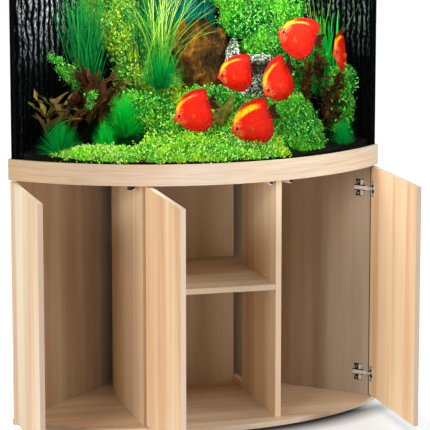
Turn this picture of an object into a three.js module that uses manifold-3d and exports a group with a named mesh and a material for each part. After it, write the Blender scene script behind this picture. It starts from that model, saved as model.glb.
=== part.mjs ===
// A corner aquarium on its cabinet. The plan is a quarter round: two straight sides stand in the
// corner of a room and the front is bent. The cabinet has three flat doors on concealed hinges, a
// shelf between two dividers, and push catches. The tank has bonded panes between two frames, a
// light bar with two tubes, two lids, an inner filter, rear panels and a planted bed.
// Units are millimetres, +Z is up. The origin is on the floor, midway between the two front ends
// of the straight sides, +X runs to the right along that line and +Y towards the room's corner.
import * as THREE from "three";
import { mergeVertices } from "three/addons/utils/BufferGeometryUtils.js";
import Module from "manifold-3d";

const wasm = await Module();
wasm.setup();

// ---------------------------------------------------------------- driving dimensions
// Plan
const LEG = 870; // each straight side, along the tank's frames
const FRONT_RADIUS = 846; // bent front of the frames
const FRONT_STEPS = 40; // facets along the bent front
const END_ROUND = 9; // rounding where the front meets a straight side
const SEAM = 0.3; // gap between pieces that touch

// Cabinet
const GLIDE_HEIGHT = 8;
const GLIDE_RADIUS = 22;
const GLIDE_INSET = 60; // from the plate's corners to the glides there
const PLATE = 17; // base plate
const PLATE_INSET = 2; // base plate behind the frames' outline
const BOARD = 18; // walls, dividers, shelf, top
const WALL_INSET = 3; // walls behind the frames' outline
const CABINET_HEIGHT = 818; // floor to the upper face of the top board
const DIVIDER_X = 208; // inner face of each divider from the middle
const DIVIDER_SETBACK = 45; // divider's front edge behind the bent front
const PANEL = 16; // rear panel of the middle bay
const PANEL_Y = 300; // its front face
const NOTCH_DEPTHS = { left: 85, right: 105 }; // hose notch in front of the rear panel
const NOTCH_FEET = { left: 0, right: 20 }; // wood left below each divider's notch
const NOTCH_HEAD = 40; // wood left above the notch
const SHELF_TOP = 459;
const PIN_RADIUS = 2.5; // shelf pins
const PIN_LENGTH = 16;
const PIN_EDGE = 60; // pins from the shelf's front and rear edges

// Doors
const DOOR = 16;
const DOOR_GAP = 4; // closed door in front of the boards it covers
const DOOR_UNDER = 6; // below the tank's frame
const DOOR_OVER = 3.2; // above the base plate
const DOOR_OVERLAY = 8.5; // middle door over each divider's front edge
const DOOR_REVEAL = 2.5; // between neighbouring closed doors
const DOOR_END_X = 6.8; // side door's outer hinge corner, in from the end of the outline
const DOOR_END_Y = 11.5; // the same corner, in front of the straight sides' ends

// Concealed hinges
const HINGE_EDGE = 8; // hinge pin from the door's edge
const HINGE_DEPTH = 7; // hinge pin behind the door's inner face
const HINGE_FROM_END = 73; // hinge centres from the door's top and bottom
const CUP_RADIUS = 17.3;
const CUP_WALL = 1.3;
const CUP_DEPTH = 11.5;
const CUP_EDGE = 21; // cup centre from the door's edge
const FLANGE = 1.2;
const FLANGE_WIDTH = 24;
const FLANGE_HEIGHT = 52;
const HINGE_PIN = 1;
const KNUCKLE = 2.2;
const KNUCKLE_HEIGHT = 8;
const ARM = 2.6; // thickness of the hinge arm
const PLATE_BACK = 37; // mounting plate behind the board's front edge
const WING_HEIGHT = 50;
const WING_WIDTH = 11;
const WING = 2.2;
const BLOCK_LENGTH = 34;
const BLOCK_HEIGHT = 12;

// Push catches
const CATCH_CLEAR = 8; // each catch beside the nearest divider face
const CATCH_LENGTH = 46;
const CATCH_WIDTH = 14;
const CATCH_HEIGHT = 21;
const CATCH_BACK = 9; // behind the closed door
const PLUNGER_RADIUS = 4.2;
const PLUNGER_STROKE = 4;
const PLUNGER_DROP = 14.5; // plunger axis below the top board
const PLUNGER_CLEAR = 0.6; // from the closed door

// Tank
const TANK_HEIGHT = 650; // lower edge of the bottom frame to the top of the top frame
const FRAME_HEIGHT = 66;
const FRAME_WALL = 10;
const LEDGE = 5;
const LEDGE_WIDTH = 30;
const GLASS = 10;
const LID = 4;
const LID_BELOW = 9; // lids below the rim of the top frame
const LID_REST = 16; // width of the rib that carries the lids
const LID_SIDE_GAP = 10; // lids from the straight sides, so that they clear them as they turn
const FLANGE_BELOW = 26; // inner flange below the rim
const CABLE_NOTCH = 56;
const CABLE_NOTCH_DEPTH = 7;

// Light bar
const BAR_Y = 150;
const BAR_WIDTH = 100;
const BAR_REBATE = 12.8; // step that each lid's rear edge turns in
const BAR_TOP_BELOW = 1; // below the rim
const TUBE_RADIUS = 13;
const TUBE_SPACING = 42;
const SOCKET_X = 352; // outer face of the tube sockets
const SOCKET_LENGTH = 22;
const SOCKET_DEPTH = 10;
const TUBE_BELOW = 39; // tube axis below the rim

// Filter in the tank's rear corner
const FILTER_SIDE = 170;
const FILTER_WALL = 4;
const FILTER_BELOW = 80; // top of the filter box below the rim
const SPONGE_HEIGHT = 340;
const HEATER_RADIUS = 12;
const HEATER_LENGTH = 310;
const HEATER_CHANNEL = 34;
const PUMP_SIDE = 72;
const PUMP_HEIGHT = 120;
const NOZZLE_RADIUS = 11;
const NOZZLE_LENGTH = 60;

// Rear panels and bed
const BARK = 27; // greatest thickness of the rear panels
const BARK_RELIEF = 9;
const BARK_BELOW = 34; // top of the rear panels below the lids' flange
const BED_FRONT = 34; // bed's height at the front pane
const BED_REAR = 95; // and in the rear corner
const STONE_X = 225;
const STONE_Y = 125;
const STONE_RADIUS = 70;
const STONE_SQUASH = 2.5; // the large stone stands upright
const PEBBLE_X = 335;
const PEBBLE_Y = 95;
const PEBBLE_RADIUS = 42;
const PEBBLE_SQUASH = 0.9;
const WOOD_X = 70;
const WOOD_Y = 215;
const WOOD_RADIUS = 44;
const WOOD_HEIGHT = 360;
const SEAT_MARGIN = 14; // level bed around each stone and the root

// ---------------------------------------------------------------- derived sizes
const HALF_CHORD = LEG / Math.SQRT2;
const ARC_Y = Math.sqrt(FRONT_RADIUS ** 2 - HALF_CHORD ** 2);
const PLATE_Z = GLIDE_HEIGHT + SEAM;
const FLOOR_Z = PLATE_Z + PLATE + SEAM; // lower end of the boards
const TOP_BOARD_Z = CABINET_HEIGHT - BOARD;
const BOARD_TOP = TOP_BOARD_Z - SEAM;
const FRAME_Z = TOP_BOARD_Z; // the bottom frame hides the top board
const RIM_Z = FRAME_Z + TANK_HEIGHT;
const LEDGE_Z = CABINET_HEIGHT + SEAM;
const PANE_FLOOR_Z = LEDGE_Z + LEDGE + SEAM;
const TANK_FLOOR = PANE_FLOOR_Z + GLASS + SEAM;
const FLANGE_Z = RIM_Z - FLANGE_BELOW;
const LID_Z = RIM_Z - LID_BELOW - LID;
const GLASS_INSET = FRAME_WALL + SEAM;
const WATER_INSET = GLASS_INSET + GLASS; // inner faces of the panes
const DIVIDER_Y = frontY(DIVIDER_X + BOARD / 2) + DIVIDER_SETBACK;
const DOOR_Z = PLATE_Z + PLATE + DOOR_OVER;
const DOOR_TOP = FRAME_Z - DOOR_UNDER;
const HINGE_HEIGHTS = { top: DOOR_TOP - HINGE_FROM_END, bottom: DOOR_Z + HINGE_FROM_END };

// Y of the bent front at a distance x from the middle.
function frontY(x) {
  return ARC_Y - Math.sqrt(FRONT_RADIUS ** 2 - x ** 2);
}

// ---------------------------------------------------------------- finishes
const finish = (color, roughness, metalness = 0) =>
  new THREE.MeshStandardMaterial({ color, roughness, metalness });
const wood = finish(0xdcbc92, 0.55);
const frameWood = finish(0xe0c6a2, 0.45);
const steel = finish(0xb9bbbd, 0.3, 0.9);
const blackPlastic = finish(0x161616, 0.45);
const greyPlastic = finish(0x9b9ea0, 0.5);
const glass = finish(0xcfe3dd, 0.05);
const lightTube = finish(0xf4f4ee, 0.3);
const bark = finish(0x17150f, 0.9);
const gravel = finish(0x5d7a1f, 0.95);
const stone = finish(0x8c8a84, 0.85);
const driftwood = finish(0x8a4f1e, 0.8);
const sponge = finish(0x1f4f7c, 0.95);

// ---------------------------------------------------------------- solids
function solidOf(geometry) {
  const bare = geometry.clone();
  bare.deleteAttribute("normal");
  bare.deleteAttribute("uv");
  const merged = mergeVertices(bare, 1e-4);
  return new wasm.Manifold(
    new wasm.Mesh({
      numProp: 3,
      vertProperties: new Float32Array(merged.attributes.position.array),
      triVerts: new Uint32Array(merged.index.array),
    }),
  );
}

function geometryOf(solid) {
  const mesh = solid.getMesh();
  const geometry = new THREE.BufferGeometry();
  geometry.setAttribute("position", new THREE.BufferAttribute(mesh.vertProperties, 3));
  geometry.setIndex(new THREE.BufferAttribute(mesh.triVerts, 1));
  geometry.computeVertexNormals();
  return geometry;
}

const join = (...pieces) => geometryOf(pieces.map(solidOf).reduce((a, b) => a.add(b)));
const cut = (piece, ...tools) =>
  geometryOf(tools.map(solidOf).reduce((a, b) => a.subtract(b), solidOf(piece)));
const common = (a, b) => geometryOf(solidOf(a).intersect(solidOf(b)));

// The quarter-round outline, set in from the straight sides and from the bent front.
function outline(backInset, frontInset, round = 0) {
  const corner = HALF_CHORD - backInset * Math.SQRT2;
  const radius = FRONT_RADIUS - frontInset;
  const reach = corner - ARC_Y;
  const x = (reach + Math.sqrt(2 * radius ** 2 - reach ** 2)) / 2;
  const y = corner - x;
  const end = Math.atan2(y - ARC_Y, x) - round / radius;
  const front = [];
  for (let i = 0; i <= FRONT_STEPS; i += 1) {
    const angle = Math.PI - end + ((Math.PI + 2 * end) * i) / FRONT_STEPS;
    front.push(new THREE.Vector2(radius * Math.cos(angle), ARC_Y + radius * Math.sin(angle)));
  }
  const shape = new THREE.Shape();
  shape.moveTo(0, corner);
  if (round) {
    shape.lineTo(-x + round / Math.SQRT2, y + round / Math.SQRT2);
    shape.quadraticCurveTo(-x, y, front[0].x, front[0].y);
    front.shift();
  }
  front.forEach((point) => shape.lineTo(point.x, point.y));
  if (round) shape.quadraticCurveTo(x, y, x - round / Math.SQRT2, y + round / Math.SQRT2);
  shape.closePath();
  return shape;
}

function prism(shape, low, high, curveSegments = 5) {
  const options = { depth: high - low, bevelEnabled: false, curveSegments };
  return new THREE.ExtrudeGeometry(shape, options).translate(0, 0, low);
}

function ring(outerInset, innerInset, low, high, round = 0) {
  const shape = outline(outerInset, outerInset, round);
  shape.holes.push(outline(innerInset, innerInset));
  return prism(shape, low, high);
}

function polygon(points) {
  return new THREE.Shape(points.map(([x, y]) => new THREE.Vector2(x, y)));
}

function box(x0, x1, y0, y1, z0, z1) {
  return new THREE.BoxGeometry(x1 - x0, y1 - y0, z1 - z0).translate(
    (x0 + x1) / 2,
    (y0 + y1) / 2,
    (z0 + z1) / 2,
  );
}

// A cylinder along Z between two heights, or laid along Y.
function roundBar(radius, low, high, sides = 20) {
  return new THREE.CylinderGeometry(radius, radius, high - low, sides)
    .rotateX(Math.PI / 2)
    .translate(0, 0, (low + high) / 2);
}
function roundBarY(radius, low, high, sides = 20) {
  return new THREE.CylinderGeometry(radius, radius, high - low, sides).translate(
    0,
    (low + high) / 2,
    0,
  );
}

// An upright strip from one plan point to another, running on past both ends by the overrun.
function strip(from, to, thickness, low, high, overrun = 0) {
  const along = to.clone().sub(from);
  const length = along.length() + 2 * overrun;
  const middle = from.clone().add(to).multiplyScalar(0.5);
  return new THREE.BoxGeometry(length, thickness, high - low)
    .rotateZ(along.angle())
    .translate(middle.x, middle.y, (low + high) / 2);
}

// ---------------------------------------------------------------- the scene graph
const aquarium = new THREE.Group();
const leftSide = new THREE.Group();
const rightSide = new THREE.Group();
rightSide.scale.x = -1; // the right half mirrors the left half
aquarium.add(leftSide, rightSide);
const SIDES = { left: leftSide, right: rightSide };

function add(parent, name, geometry, material) {
  const mesh = new THREE.Mesh(geometry, material);
  mesh.name = name;
  parent.add(mesh);
  return mesh;
}

// A group whose x axis runs along a door, y into the cabinet, and whose origin is the hinge pin.
function hingeGroup(parent, pin, angle) {
  const group = new THREE.Group();
  group.position.set(pin.x, pin.y, 0);
  group.rotation.z = angle;
  parent.add(group);
  return group;
}

// ---------------------------------------------------------------- door plan
const dividerCorner = new THREE.Vector2(-(DIVIDER_X + BOARD), DIVIDER_Y);
const sideDoor = planSideDoor();
const middleDoor = planMiddleDoor();

// The left door closed: its outer face starts at the hinge corner and passes in front of the
// divider's corner, a door's thickness and the gap away.
function planSideDoor() {
  const corner = new THREE.Vector2(-(HALF_CHORD - DOOR_END_X), -DOOR_END_Y);
  const span = dividerCorner.clone().sub(corner);
  const slope = Math.asin((DOOR_GAP + DOOR) / span.length()) - span.angle();
  const along = new THREE.Vector2(Math.cos(slope), -Math.sin(slope));
  const inward = new THREE.Vector2(Math.sin(slope), Math.cos(slope));
  const freeX = -(DIVIDER_X + DOOR_OVERLAY + DOOR_REVEAL);
  const width = (freeX - corner.x - DOOR * inward.x) / along.x;
  const pin = corner
    .clone()
    .addScaledVector(inward, DOOR - HINGE_DEPTH)
    .addScaledVector(along, HINGE_EDGE);
  const catchX = catchPlace(pin, along, inward, dividerCorner.x);
  return { pin, slope: -slope, along, inward, width, catchX };
}

// How far along a door its catch sits, so that the whole catch stays beside a divider's face.
function catchPlace(pin, along, inward, faceX) {
  const depth = HINGE_DEPTH + CATCH_BACK + CATCH_LENGTH;
  return (faceX - CATCH_CLEAR - pin.x - inward.x * depth) / along.x - CATCH_WIDTH / 2;
}

function planMiddleDoor() {
  const edge = -(DIVIDER_X + DOOR_OVERLAY);
  const along = new THREE.Vector2(1, 0);
  const inward = new THREE.Vector2(0, 1);
  const pin = new THREE.Vector2(edge + HINGE_EDGE, DIVIDER_Y - DOOR_GAP - HINGE_DEPTH);
  const catchX = catchPlace(pin, along, inward, DIVIDER_X);
  return { pin, slope: 0, along, inward, width: -2 * edge, catchX };
}

// ---------------------------------------------------------------- cabinet
function basePlate() {
  const shape = outline(PLATE_INSET, PLATE_INSET, END_ROUND);
  add(aquarium, "base_plate", prism(shape, PLATE_Z, PLATE_Z + PLATE), wood);
}

function glides() {
  const foot = (parent, name, x, y) =>
    add(parent, name, roundBar(GLIDE_RADIUS, 0, GLIDE_HEIGHT), blackPlastic).position.set(x, y, 0);
  foot(aquarium, "glide_middle", 0, 0);
  foot(aquarium, "glide_rear", 0, HALF_CHORD - GLIDE_INSET * 1.5);
  for (const [side, group] of Object.entries(SIDES)) {
    foot(group, "glide_end_" + side, -(HALF_CHORD - GLIDE_INSET), 0);
    foot(group, "glide_front_" + side, -DIVIDER_X, DIVIDER_Y + GLIDE_INSET / 2);
  }
}

// The side walls meet in a mitre in the rear corner and stop short of the closed side doors.
function wallLines() {
  const outer = HALF_CHORD - WALL_INSET * Math.SQRT2;
  const inner = outer - BOARD * Math.SQRT2;
  const { pin, along, inward } = sideDoor;
  const onCut = pin.clone().addScaledVector(inward, HINGE_DEPTH + DOOR_GAP);
  const meet = (k) => {
    const t = (k + onCut.x - onCut.y) / (along.y - along.x);
    return onCut.clone().addScaledVector(along, t);
  };
  return { outer, inner, outerEnd: meet(outer), innerEnd: meet(inner) };
}

function walls() {
  const { outer, inner, outerEnd, innerEnd } = wallLines();
  const mitre = SEAM / 2;
  const shape = polygon([
    [outerEnd.x, outerEnd.y],
    [innerEnd.x, innerEnd.y],
    [-mitre, inner - mitre],
    [-mitre, outer - mitre],
  ]);
  for (const [side, group] of Object.entries(SIDES)) {
    add(group, "wall_" + side, prism(shape, FLOOR_Z, BOARD_TOP), wood);
  }
}

function shelfPinPlaces() {
  const z = SHELF_TOP - BOARD - SEAM - PIN_RADIUS;
  return [
    { name: "front", y: DIVIDER_Y + PIN_EDGE, z },
    { name: "rear", y: PANEL_Y - NOTCH_DEPTHS.right - PIN_EDGE / 2, z },
  ];
}

function shelfPin(radius) {
  return new THREE.CylinderGeometry(radius, radius, PIN_LENGTH, 16)
    .rotateZ(Math.PI / 2)
    .translate(-DIVIDER_X, 0, 0);
}

// Each divider's rear edge has a tall notch for hoses and leads below a head that holds the rear
// panel of the middle bay. The right one has a foot as well, the left one is open to the floor.
function dividers() {
  const board = box(
    -(DIVIDER_X + BOARD), -DIVIDER_X, DIVIDER_Y, PANEL_Y + PANEL, FLOOR_Z, BOARD_TOP,
  );
  const holes = shelfPinPlaces().map(({ y, z }) => shelfPin(PIN_RADIUS + SEAM).translate(0, y, z));
  for (const [side, group] of Object.entries(SIDES)) {
    const foot = NOTCH_FEET[side] || -1;
    const notch = box(
      -(DIVIDER_X + 2 * BOARD), -DIVIDER_X + BOARD,
      PANEL_Y - NOTCH_DEPTHS[side], PANEL_Y + 2 * PANEL, FLOOR_Z + foot, BOARD_TOP - NOTCH_HEAD,
    );
    add(group, "divider_" + side, cut(board, notch, ...holes), wood);
    for (const { name, y, z } of shelfPinPlaces()) {
      const pin = add(group, "shelf_pin_" + name + "_" + side, shelfPin(PIN_RADIUS), steel);
      pin.position.set(0, y, z);
    }
  }
}

function shelfAndPanels() {
  const bay = DIVIDER_X - SEAM;
  const shelf = box(-bay, bay, DIVIDER_Y, PANEL_Y - SEAM, SHELF_TOP - BOARD, SHELF_TOP);
  add(aquarium, "shelf", shelf, wood);
  const panel = box(-bay, bay, PANEL_Y, PANEL_Y + PANEL, FLOOR_Z, BOARD_TOP);
  add(aquarium, "rear_panel", panel, wood);
  const top = outline(GLASS_INSET, GLASS_INSET);
  add(aquarium, "top_board", prism(top, TOP_BOARD_Z, CABINET_HEIGHT), wood);
}

// ---------------------------------------------------------------- doors and their hinges
// A door in its own frame: the hinge pin is the origin, x runs along it, y points inwards.
function doorLeaf(width) {
  const leaf = box(
    -HINGE_EDGE, width - HINGE_EDGE, HINGE_DEPTH - DOOR, HINGE_DEPTH, DOOR_Z, DOOR_TOP,
  );
  const bores = Object.values(HINGE_HEIGHTS).map((z) =>
    roundBarY(CUP_RADIUS + SEAM, HINGE_DEPTH - CUP_DEPTH - SEAM, HINGE_DEPTH + 1)
      .translate(CUP_EDGE - HINGE_EDGE, 0, z),
  );
  return cut(leaf, ...bores);
}

// The pressed cup with its flange, open towards the cabinet, and the pin that crosses it.
function hingeCup() {
  const centre = CUP_EDGE - HINGE_EDGE;
  const face = HINGE_DEPTH + SEAM;
  const inner = CUP_RADIUS - CUP_WALL;
  const bowl = roundBarY(CUP_RADIUS, HINGE_DEPTH - CUP_DEPTH, face + FLANGE);
  const flange = box(
    -FLANGE_WIDTH / 2, FLANGE_WIDTH / 2, face, face + FLANGE,
    -FLANGE_HEIGHT / 2, FLANGE_HEIGHT / 2,
  );
  const hollow = roundBarY(inner, HINGE_DEPTH - CUP_DEPTH + CUP_WALL, face + 2 * FLANGE);
  const shell = cut(join(bowl, flange), hollow).translate(centre, 0, 0);
  const reach = Math.sqrt((CUP_RADIUS - CUP_WALL / 2) ** 2 - centre ** 2);
  return join(shell, roundBar(HINGE_PIN, -reach, reach, 12));
}

// The arm of a hinge, in plan: from the pin it first runs along the closed door inside the cup,
// then out of the cup's mouth, then back along the board to the mounting plate.
function hingeArm(door, boardFront, boardAlong, boardNormal) {
  const at = (u, n) =>
    door.pin.clone().addScaledVector(door.along, u).addScaledVector(door.inward, n);
  const bend = at(CUP_EDGE - HINGE_EDGE, -0.5);
  const mouth = at(CUP_EDGE - HINGE_EDGE - 1, HINGE_DEPTH + 7);
  const offset = mouth.clone().sub(boardFront).dot(boardNormal);
  const onBoard = (along, off) =>
    boardFront.clone().addScaledVector(boardAlong, along).addScaledVector(boardNormal, off);
  const half = KNUCKLE_HEIGHT / 2;
  const block = BLOCK_HEIGHT / 2;
  const rear = onBoard(PLATE_BACK + BLOCK_LENGTH / 2, offset);
  const pad = (length, off, height) =>
    strip(
      onBoard(PLATE_BACK - length / 2, SEAM + off / 2),
      onBoard(PLATE_BACK + length / 2, SEAM + off / 2),
      off, -height / 2, height / 2,
    );
  const body = join(
    roundBar(KNUCKLE, -half, half, 16).translate(door.pin.x, door.pin.y, 0),
    strip(door.pin, bend, ARM, -half, half, ARM / 2),
    strip(bend, mouth, ARM, -half, half, ARM / 2),
    strip(mouth, rear, ARM, -block, block, ARM / 2),
    pad(BLOCK_LENGTH, offset - SEAM, BLOCK_HEIGHT),
    pad(WING_WIDTH, WING, WING_HEIGHT),
  );
  const bore = roundBar(HINGE_PIN + SEAM + 0.05, -2 * half, 2 * half, 16);
  return cut(body, bore.translate(door.pin.x, door.pin.y, 0));
}

// A push catch under the top board, behind the closed door's free edge.
function pushCatch(parent, name, door) {
  const group = hingeGroup(parent, door.pin, door.slope);
  const z = TOP_BOARD_Z - PLUNGER_DROP;
  const front = HINGE_DEPTH + CATCH_BACK;
  const tip = HINGE_DEPTH + PLUNGER_CLEAR;
  const housing = box(
    -CATCH_WIDTH / 2, CATCH_WIDTH / 2, front, front + CATCH_LENGTH,
    BOARD_TOP - CATCH_HEIGHT - z, BOARD_TOP - z,
  );
  const rear = front + CATCH_LENGTH - PLUNGER_STROKE;
  const bore = roundBarY(PLUNGER_RADIUS + SEAM, front - 1, rear);
  add(group, "catch_body_" + name, cut(housing, bore), greyPlastic).position.set(door.catchX, 0, z);
  const plunger = roundBarY(PLUNGER_RADIUS, tip, rear - PLUNGER_STROKE - 1);
  add(group, "catch_plunger_" + name, plunger, blackPlastic).position.set(door.catchX, 0, z);
}

// Every door stands open, square to the line between the front ends.
function hangDoor(parent, name, door, boardFront, boardAlong, boardNormal) {
  const group = hingeGroup(parent, door.pin, -Math.PI / 2);
  add(group, "door_" + name, doorLeaf(door.width), wood);
  for (const [level, z] of Object.entries(HINGE_HEIGHTS)) {
    add(group, "hinge_cup_" + level + "_" + name, hingeCup(), steel).position.z = z;
    const arm = hingeArm(door, boardFront, boardAlong, boardNormal);
    add(parent, "hinge_arm_" + level + "_" + name, arm, steel).position.z = z;
  }
  pushCatch(parent, name, door);
}

function doors() {
  const wallAlong = new THREE.Vector2(Math.SQRT1_2, Math.SQRT1_2);
  const wallNormal = new THREE.Vector2(Math.SQRT1_2, -Math.SQRT1_2);
  const wallEnd = wallLines().innerEnd;
  for (const [side, group] of Object.entries(SIDES)) {
    hangDoor(group, side, sideDoor, wallEnd, wallAlong, wallNormal);
  }
  const dividerFront = new THREE.Vector2(-DIVIDER_X, DIVIDER_Y);
  hangDoor(
    aquarium, "middle", middleDoor, dividerFront,
    new THREE.Vector2(0, 1), new THREE.Vector2(1, 0),
  );
}

// ---------------------------------------------------------------- tank
function frames() {
  const skirt = ring(0, FRAME_WALL, FRAME_Z, FRAME_Z + FRAME_HEIGHT, END_ROUND);
  const overlap = FRAME_WALL - 1;
  const ledge = ring(overlap, FRAME_WALL + LEDGE_WIDTH, LEDGE_Z, LEDGE_Z + LEDGE);
  add(aquarium, "bottom_frame", join(skirt, ledge), frameWood);

  const band = ring(0, FRAME_WALL, RIM_Z - FRAME_HEIGHT, RIM_Z, END_ROUND);
  const flange = ring(overlap, FRAME_WALL + LEDGE_WIDTH, FLANGE_Z, FLANGE_Z + LEDGE);
  const rib = ring(overlap, FRAME_WALL + LID_REST, FLANGE_Z, LID_Z - SEAM);
  const notch = box(
    -CABLE_NOTCH / 2, CABLE_NOTCH / 2, HALF_CHORD - CABLE_NOTCH, HALF_CHORD,
    RIM_Z - CABLE_NOTCH_DEPTH, RIM_Z + 1,
  );
  add(aquarium, "top_frame", cut(join(band, flange, rib), notch), frameWood);
}

// The bottom pane lies on the frame's ledge, and the upright panes stand on it.
function panes() {
  const floor = outline(GLASS_INSET, GLASS_INSET);
  add(aquarium, "pane_bottom", prism(floor, PANE_FLOOR_Z, PANE_FLOOR_Z + GLASS), glass);
  const top = FLANGE_Z - SEAM;
  const whole = prism(outline(GLASS_INSET, GLASS_INSET), TANK_FLOOR, top);
  const behindFront = prism(outline(0, WATER_INSET), TANK_FLOOR - 1, top + 1);
  add(aquarium, "pane_front", cut(whole, behindFront), glass);

  const outer = HALF_CHORD - GLASS_INSET * Math.SQRT2;
  const inner = outer - GLASS * Math.SQRT2;
  const mitre = SEAM / 2;
  const legStrip = polygon([
    [-HALF_CHORD, outer - HALF_CHORD],
    [-HALF_CHORD, inner - HALF_CHORD],
    [-mitre, inner - mitre],
    [-mitre, outer - mitre],
  ]);
  const inside = prism(outline(0, WATER_INSET + SEAM), TANK_FLOOR - 1, top + 1);
  const sidePane = common(prism(legStrip, TANK_FLOOR, top), inside);
  for (const [side, group] of Object.entries(SIDES)) {
    add(group, "pane_" + side, sidePane, glass);
  }
}

// The light bar rests on the top frame's flange. A step along each edge takes a lid's rear edge,
// and two sockets under each end hold the tubes.
function lightBar() {
  const y0 = BAR_Y - BAR_WIDTH / 2;
  const y1 = BAR_Y + BAR_WIDTH / 2;
  const low = FLANGE_Z + LEDGE + SEAM;
  const step = LID_Z - 2 * SEAM;
  const deck = box(-HALF_CHORD, HALF_CHORD, y0, y1, low, step);
  const ridge = box(
    -HALF_CHORD, HALF_CHORD, y0 + BAR_REBATE, y1 - BAR_REBATE, low, RIM_Z - BAR_TOP_BELOW,
  );
  const inside = FRAME_WALL + LID_REST + SEAM;
  const trim = prism(outline(inside, inside), low - 1, RIM_Z);
  const tubeZ = RIM_Z - TUBE_BELOW;
  const block = (x0, x1) =>
    box(
      x0, x1, BAR_Y - TUBE_SPACING, BAR_Y + TUBE_SPACING,
      tubeZ - TUBE_RADIUS - 4, low + 1,
    );
  const tubes = [-1, 1].map((s) => ({ s, y: BAR_Y + (s * TUBE_SPACING) / 2 }));
  const tube = (radius, half) => roundBar(radius, -half, half, 20).rotateY(Math.PI / 2);
  const half = SOCKET_X - SOCKET_LENGTH + SOCKET_DEPTH;
  const bores = tubes.map(({ y }) => tube(TUBE_RADIUS + SEAM, half + SEAM).translate(0, y, tubeZ));
  const bar = cut(
    join(
      common(join(deck, ridge), trim),
      block(-SOCKET_X, -SOCKET_X + SOCKET_LENGTH),
      block(SOCKET_X - SOCKET_LENGTH, SOCKET_X),
    ),
    ...bores,
  );
  add(aquarium, "light_bar", bar, blackPlastic);
  for (const { s, y } of tubes) {
    const name = "light_tube_" + (s < 0 ? "front" : "rear");
    add(aquarium, name, tube(TUBE_RADIUS, half), lightTube).position.set(0, y, tubeZ);
  }
}

// Each lid lies on the top frame's rib. Its edge at the light bar is rounded and turns in the
// bar's step; a ridge near the other edge is the grip.
function lids() {
  const inset = FRAME_WALL + LID_SIDE_GAP;
  const frontInset = FRAME_WALL + 2 * SEAM;
  const sheet = prism(outline(inset, frontInset), LID_Z, LID_Z + LID);
  const axisZ = LID_Z + LID / 2;
  const hinge = BAR_WIDTH / 2 - BAR_REBATE + LID / 2 + 3 * SEAM;
  const lid = (name, side, gripY, gripHalf) => {
    const axisY = BAR_Y + side * hinge;
    const [low, high] = side < 0 ? [-HALF_CHORD, axisY] : [axisY, HALF_CHORD];
    const half = box(-HALF_CHORD, HALF_CHORD, low, high, LID_Z - 1, RIM_Z);
    const reach = HALF_CHORD - inset * Math.SQRT2 - axisY - LID;
    const edge = roundBar(LID / 2, -reach, reach, 16)
      .rotateY(Math.PI / 2)
      .translate(0, axisY, axisZ);
    const grip = box(-gripHalf, gripHalf, gripY - 4, gripY + 4, LID_Z + LID / 2, RIM_Z - 2);
    add(aquarium, name, join(common(sheet, half), edge, grip), blackPlastic);
  };
  lid("lid_front", -1, frontY(0) + 2 * inset, 60);
  lid("lid_rear", 1, HALF_CHORD - 2 * CABLE_NOTCH, 30);
}

// ---------------------------------------------------------------- filter
// In the rear corner the filter's square plan follows both straight sides, so its pieces are
// made in a group turned by 45 degrees, with the glass corner as its origin and x and y running
// from it along the left and the right side.
function filter() {
  const group = new THREE.Group();
  group.position.set(0, HALF_CHORD - WATER_INSET * Math.SQRT2, 0);
  group.rotation.z = Math.PI + Math.PI / 4;
  aquarium.add(group);
  const near = 3 * SEAM;
  const far = near + FILTER_SIDE;
  const low = TANK_FLOOR;
  const floor = low + FILTER_WALL;
  const top = RIM_Z - FILTER_BELOW;
  const spongeTop = floor + SEAM + SPONGE_HEIGHT;
  const pumpZ = spongeTop + SEAM;
  const nozzleZ = pumpZ + PUMP_HEIGHT / 2;
  const middle = (near + far) / 2;
  const wallNear = near + FILTER_WALL;
  const wallFar = far - FILTER_WALL;
  const nozzle = (radius, length) =>
    roundBarY(radius, middle, far + length).translate(middle, 0, nozzleZ);

  const shell = cut(
    box(near, far, near, far, low, top),
    box(wallNear, wallFar, wallNear, wallFar, floor, top + 1),
    nozzle(NOZZLE_RADIUS + SEAM, FILTER_WALL),
  );
  add(group, "filter_box", shell, blackPlastic);

  const padding = 1.5;
  const block = box(
    wallNear + padding, wallFar - padding, wallNear + padding, wallFar - padding,
    floor + SEAM, spongeTop,
  );
  const channel = box(
    wallNear, wallNear + HEATER_CHANNEL, wallNear, wallNear + HEATER_CHANNEL,
    floor, spongeTop + 1,
  );
  add(group, "filter_sponge", cut(block, channel), sponge);

  const heater = add(
    group, "heater", roundBar(HEATER_RADIUS, 0, HEATER_LENGTH, 16), greyPlastic,
  );
  const inChannel = wallNear + HEATER_CHANNEL / 2;
  heater.position.set(inChannel, inChannel, floor + SEAM);

  const pump = box(
    middle - PUMP_SIDE / 2, middle + PUMP_SIDE / 2, middle - PUMP_SIDE / 2,
    middle + PUMP_SIDE / 2, pumpZ, pumpZ + PUMP_HEIGHT,
  );
  add(group, "pump", join(pump, nozzle(NOZZLE_RADIUS, NOZZLE_LENGTH)), blackPlastic);
}

// ---------------------------------------------------------------- rear panels and bed
// Smooth uneven relief between 0 and 1, the same each time.
function relief(u, v) {
  const ridges = Math.sin(u * 0.071 + 1.3 * Math.sin(v * 0.023)) * Math.sin(u * 0.031 + v * 0.009);
  const lumps = Math.sin(v * 0.041 + 2 * Math.sin(u * 0.017));
  return 0.5 + 0.3 * ridges + 0.2 * lumps;
}

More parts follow.
